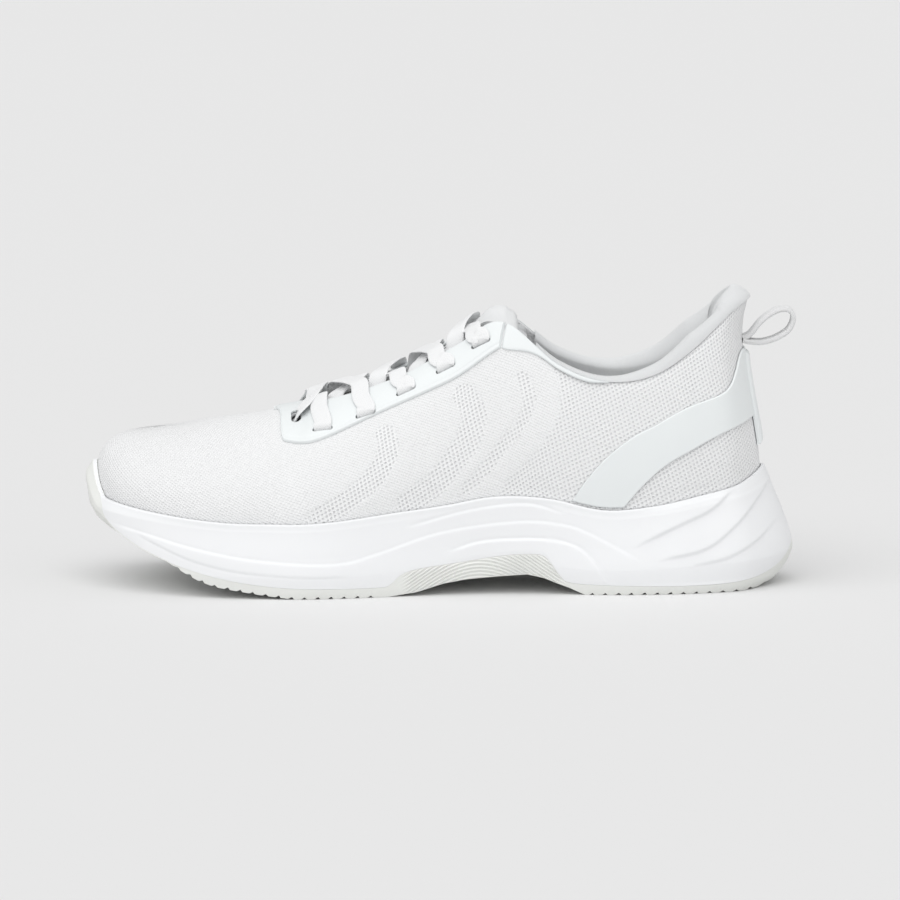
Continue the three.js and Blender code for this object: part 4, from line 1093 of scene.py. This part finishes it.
# ---- materials ----
class Look:
    """A procedural material under construction."""

    def __init__(self, name, color, roughness, sheen=0.0, coat=0.0):
        self.material = bpy.data.materials.new(name)
        self.material.use_nodes = True
        self.nodes = self.material.node_tree.nodes
        self.links = self.material.node_tree.links
        self.shader = self.nodes["Principled BSDF"]
        self.color = color
        self.shader.inputs["Base Color"].default_value = (*color, 1)
        self.shader.inputs["Roughness"].default_value = roughness
        self.shader.inputs["Sheen Weight"].default_value = sheen
        self.shader.inputs["Sheen Roughness"].default_value = 0.5
        self.shader.inputs["Coat Weight"].default_value = coat
        self.shader.inputs["Coat Roughness"].default_value = 0.35
        self.material.diffuse_color = (*color, 1)

    def feed(self, socket, value):
        if isinstance(value, bpy.types.NodeSocket):
            self.links.new(value, socket)
        else:
            socket.default_value = value

    def calc(self, operation, *values):
        node = self.nodes.new("ShaderNodeMath")
        node.operation = operation
        for socket, value in zip(node.inputs, values):
            self.feed(socket, value)
        return node.outputs[0]

    def ramp(self, value, low, high, start=0.0, end=1.0):
        node = self.nodes.new("ShaderNodeMapRange")
        node.interpolation_type = "SMOOTHSTEP"
        keys = ("Value", "From Min", "From Max", "To Min", "To Max")
        for key, item in zip(keys, (value, low, high, start, end)):
            self.feed(node.inputs[key], item)
        return node.outputs["Result"]

    def value(self, name):
        node = self.nodes.new("ShaderNodeAttribute")
        node.attribute_name = name
        return node.outputs["Fac"]

    def plane(self, name, turn=0.0):
        """The x and y of a UV map in millimetres, turned by an angle in degrees."""
        source = self.nodes.new("ShaderNodeUVMap")
        source.uv_map = name
        turned = self.nodes.new("ShaderNodeVectorRotate")
        turned.rotation_type = "Z_AXIS"
        turned.inputs["Angle"].default_value = math.radians(turn)
        split = self.nodes.new("ShaderNodeSeparateXYZ")
        self.links.new(source.outputs[0], turned.inputs["Vector"])
        self.links.new(turned.outputs[0], split.inputs[0])
        return [self.calc("MULTIPLY", split.outputs[k], 1000) for k in (0, 1)]

    def wave(self, x, pitch, shift=0.0):
        """cos of x over a pitch, both in millimetres."""
        turn = self.calc("MULTIPLY_ADD", x, 2 * math.pi / pitch, shift)
        return self.calc("COSINE", turn)

    def lattice(self, plane, pitch_x, pitch_y):
        """Peaks of 1 on a staggered lattice."""
        x, y = plane
        return self.calc("MULTIPLY", self.wave(x, pitch_x), self.wave(y, pitch_y))

    def noise(self, scale, detail=2.0):
        """Noise in the object's own space, with its grain size in millimetres."""
        place = self.nodes.new("ShaderNodeTexCoord")
        node = self.nodes.new("ShaderNodeTexNoise")
        node.inputs["Scale"].default_value = 1000 / scale
        node.inputs["Detail"].default_value = detail
        self.links.new(place.outputs["Object"], node.inputs["Vector"])
        return node.outputs["Fac"]

    def mix(self, a, b, share):
        return self.calc("ADD", self.calc("MULTIPLY", a, self.calc("SUBTRACT", 1.0, share)),
                         self.calc("MULTIPLY", b, share))

    def shade(self, dark, tint=(0.62, 0.63, 0.66)):
        """Darkens the base colour towards a tint of itself by a share."""
        node = self.nodes.new("ShaderNodeMix")
        node.data_type = "RGBA"
        node.inputs["A"].default_value = (*self.color, 1)
        node.inputs["B"].default_value = (*[c * t for c, t in zip(self.color, tint)], 1)
        self.feed(node.inputs["Factor"], dark)
        self.links.new(node.outputs["Result"], self.shader.inputs["Base Color"])

    def bump(self, height, depth, strength=1.0):
        """Bump from a height of 0 to 1, depth millimetres deep."""
        node = self.nodes.new("ShaderNodeBump")
        node.inputs["Distance"].default_value = depth * MM
        node.inputs["Strength"].default_value = strength
        self.feed(node.inputs["Height"], height)
        self.links.new(node.outputs[0], self.shader.inputs["Normal"])


def knit_look():
    look = Look("knit", (0.895, 0.898, 0.9), 0.92, sheen=0.15)
    girth, top = look.plane("round", -24), look.plane("vamp", 32)
    open_mesh, vamp = look.value("open_mesh"), look.value("vamp")
    grain, cloud = look.noise(1.1, 3), look.noise(9)
    # Dense knit: staggered stitches. Open mesh: rows of holes. Vamp: coarse stitches with dimples in rows.
    stitches = look.calc("ABSOLUTE", look.lattice(girth, 2.6, 2.2))
    holes = look.ramp(look.lattice(girth, 2.2, 2.7), 0.2, 0.9)
    fine = look.calc("ABSOLUTE", look.lattice(top, 2.4, 2.1))
    dimples = look.ramp(look.lattice(top, 4.4, 5.2), 0.55, 0.95)
    spots = look.calc("MULTIPLY", dimples, look.ramp(cloud, 0.4, 0.6))
    quarter = look.mix(look.calc("MULTIPLY", stitches, 0.42), look.calc("ADD", look.calc(
        "MULTIPLY", holes, 0.85), look.calc("MULTIPLY", stitches, 0.15)), open_mesh)
    front = look.calc("ADD", look.calc("MULTIPLY", fine, 0.4), look.calc("MULTIPLY", spots, 0.55))
    depth = look.mix(quarter, front, vamp)
    rough = look.calc("ADD", depth, look.calc("MULTIPLY", grain, 0.6))
    look.bump(look.calc("SUBTRACT", 1.0, rough), 0.55, 1.0)
    # Painted shade: the knit's colour darkens in its hollows (stitch gaps, open-mesh holes and vamp
    # dimples), with a little random yarn tone from the grain.
    dark = look.calc("MULTIPLY", look.calc("ADD", depth, look.calc("MULTIPLY", grain, 0.2)), 0.4)
    look.shade(look.calc("MINIMUM", dark, 1.0))
    return look.material


# Color, roughness, coat, grain size, cloud size, depth and strength of the grain, share of shade.
SKINS = {
    "overlay_film": ((0.825, 0.855, 0.857), 0.42, 0.12, 0.35, 14, 0.05, 0.5, 0.05),
    "midsole_foam": ((0.885, 0.893, 0.905), 0.44, 0.05, 0.5, 22, 0.04, 0.5, 0.04),
    "outsole_rubber": ((0.835, 0.845, 0.815), 0.5, 0.0, 0.4, 18, 0.05, 0.6, 0.07),
}


def skin_look(name, color, roughness, coat, grain_size, cloud_size, depth, strength, dark):
    """A smooth moulded or bonded skin with a fine grain and faint clouds."""
    look = Look(name, color, roughness, coat=coat)
    grain, cloud = look.noise(grain_size, 3), look.noise(cloud_size, 1)
    look.bump(grain, depth, strength)
    look.shade(look.calc("MULTIPLY", look.calc("ADD", grain, cloud), dark))
    return look.material


def cloth_look(name, color, pitch, depth, sheen=0.2, turn=0.0, grain_size=0.7, dark_share=0.3, plane="flow"):
    """A plain weave or fine knit on a piece's flow map."""
    look = Look(name, color, 0.9, sheen=sheen)
    cell = look.calc("ABSOLUTE", look.lattice(look.plane(plane, turn), 2 * pitch, 2 * pitch * 0.8))
    grain = look.noise(grain_size)
    height = look.calc("ADD", cell, look.calc("MULTIPLY", grain, 0.6))
    look.bump(look.calc("SUBTRACT", 1.6, height), depth, 0.8)
    # Painted shade: the colour darkens in the weave's hollows, where the bump is lowest, with a little
    # random tone from the grain.
    look.shade(look.calc("MULTIPLY", height, dark_share / 1.6))
    return look.material


def lace_look():
    """A tubular weave: slanted yarns that meet at the lace's middle."""
    look = Look("lace_fabric", (0.885, 0.89, 0.893), 0.82, sheen=0.2)
    x, y = look.plane("flow")
    fold = look.calc("PINGPONG", y, LACE_WIDTH / 2)
    slanted = look.calc("ADD", x, fold)
    yarn = look.calc("ABSOLUTE", look.wave(slanted, 2.2))
    across = look.calc("ABSOLUTE", look.wave(look.calc("SUBTRACT", x, fold), 2.2))
    height = look.calc("MAXIMUM", yarn, across)
    grain = look.noise(0.5)
    look.bump(look.calc("ADD", height, look.calc("MULTIPLY", grain, 0.4)), 0.16, 0.8)
    # Painted shade: the colour darkens in the grooves between the yarns, where the bump is lowest.
    look.shade(look.calc("MULTIPLY", look.calc("SUBTRACT", 1.4, height), 0.16))
    return look.material


def plain_look(name, color, grain_size, roughness=0.8):
    look = Look(name, color, roughness)
    grain = look.noise(grain_size, 3)
    look.bump(grain, 0.1, 0.6)
    look.shade(look.calc("MULTIPLY", grain, 0.15))
    return look.material


def make_looks():
    return {
        "knit": knit_look(),
        **{name: skin_look(name, *values) for name, values in SKINS.items()},
        "lace_fabric": lace_look(),
        "lining_fabric": cloth_look("lining_fabric", (0.84, 0.85, 0.853), 0.55, 0.12),
        "vamp_lining": cloth_look("vamp_lining", (0.84, 0.85, 0.853), 0.8, 0.15, plane="round"),
        "tongue_fabric": cloth_look("tongue_fabric", (0.86, 0.868, 0.87), 0.5, 0.12, turn=45),
        "sockliner_fabric": cloth_look("sockliner_fabric", (0.83, 0.84, 0.845), 0.7, 0.15, turn=45),
        "webbing": cloth_look("webbing", (0.86, 0.862, 0.862), 0.45, 0.15, grain_size=0.4),
        "stiffener": plain_look("stiffener", (0.8, 0.8, 0.78), 1.2),
        "board": plain_look("board", (0.78, 0.77, 0.73), 1.5),
    }


def paint(piece, material):
    piece.data.materials.clear()
    piece.data.materials.append(material)


# ---- stage, light and camera ----
CAMERA_ELEVATION = 8
CAMERA_DISTANCE = 2600
VIEW_WIDTH = 381.3
VIEW_CENTRE = (4.7, 0, 55.4)


def make_stage():
    size = 14.0
    corners = [(-size, -size, 0), (size, -size, 0), (size, size, 0), (-size, size, 0)]
    mesh = bpy.data.meshes.new("floor")
    mesh.from_pydata(corners, [], [(0, 1, 2, 3)])
    floor = bpy.data.objects.new("floor", mesh)
    bpy.context.collection.objects.link(floor)
    look = Look("floor", (0.775, 0.775, 0.775), 0.9)
    cloud = look.noise(900, 1)
    look.shade(look.calc("MULTIPLY", cloud, 0.02))
    paint(floor, look.material)


def make_sun(name, energy, spread, azimuth, elevation):
    """A broad soft light from an azimuth (0 is the outer side, 90 the heel) and an elevation."""
    light = bpy.data.lights.new(name, "SUN")
    light.energy = energy
    light.angle = math.radians(spread)
    piece = bpy.data.objects.new(name, light)
    a, e = math.radians(azimuth), math.radians(elevation)
    source = Vector((math.sin(a) * math.cos(e), -math.cos(a) * math.cos(e), math.sin(e)))
    piece.rotation_euler = source.to_track_quat("Z", "Y").to_euler()
    bpy.context.collection.objects.link(piece)


def make_lights():
    make_sun("key_light", 1.5, 70, -25, 62)
    make_sun("fill_light", 0.35, 90, 30, 25)
    world = bpy.data.worlds.new("studio")
    world.use_nodes = True
    background = world.node_tree.nodes["Background"]
    background.inputs["Color"].default_value = (0.8, 0.8, 0.8, 1)
    background.inputs["Strength"].default_value = 0.72
    bpy.context.scene.world = world
    bpy.context.scene.view_settings.view_transform = "Standard"


def make_camera():
    camera = bpy.data.cameras.new("camera")
    camera.sensor_width = 36
    camera.lens = camera.sensor_width * CAMERA_DISTANCE / VIEW_WIDTH
    camera.clip_end = 100
    piece = bpy.data.objects.new("camera", camera)
    elevation = math.radians(CAMERA_ELEVATION)
    back = Vector((0, -math.cos(elevation), math.sin(elevation)))
    piece.location = (Vector(VIEW_CENTRE) + back * CAMERA_DISTANCE) * MM
    piece.rotation_euler = back.to_track_quat("Z", "Y").to_euler()
    bpy.context.collection.objects.link(piece)
    bpy.context.scene.camera = piece


# ---- the shoe ----
make_camera()
make_stage()
make_lights()
looks = make_looks()
cutter = make_cutter()

paint(make_midsole(), looks["midsole_foam"])
paint(make_outsole(), looks["outsole_rubber"])
paint(make_sockliner(), looks["sockliner_fabric"])
paint(make_knit(cutter), looks["knit"])
paint(make_vamp_lining(), looks["vamp_lining"])
paint(make_facing(cutter), looks["overlay_film"])
for strip_piece in [*make_bindings(), *make_straps(), make_back_strip()]:
    paint(strip_piece, looks["overlay_film"])
paint(make_collar(), looks["lining_fabric"])
paint(make_tongue(), looks["tongue_fabric"])
paint(make_loop(), looks["webbing"])
paint(make_lace(), looks["lace_fabric"])
bpy.data.objects.remove(cutter)

for node_name in ("heel_counter", "toe_puff", "eyelet_backer_lateral", "eyelet_backer_medial"):
    paint(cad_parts[node_name], looks["stiffener"])
paint(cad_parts["strobel_board"], looks["board"])
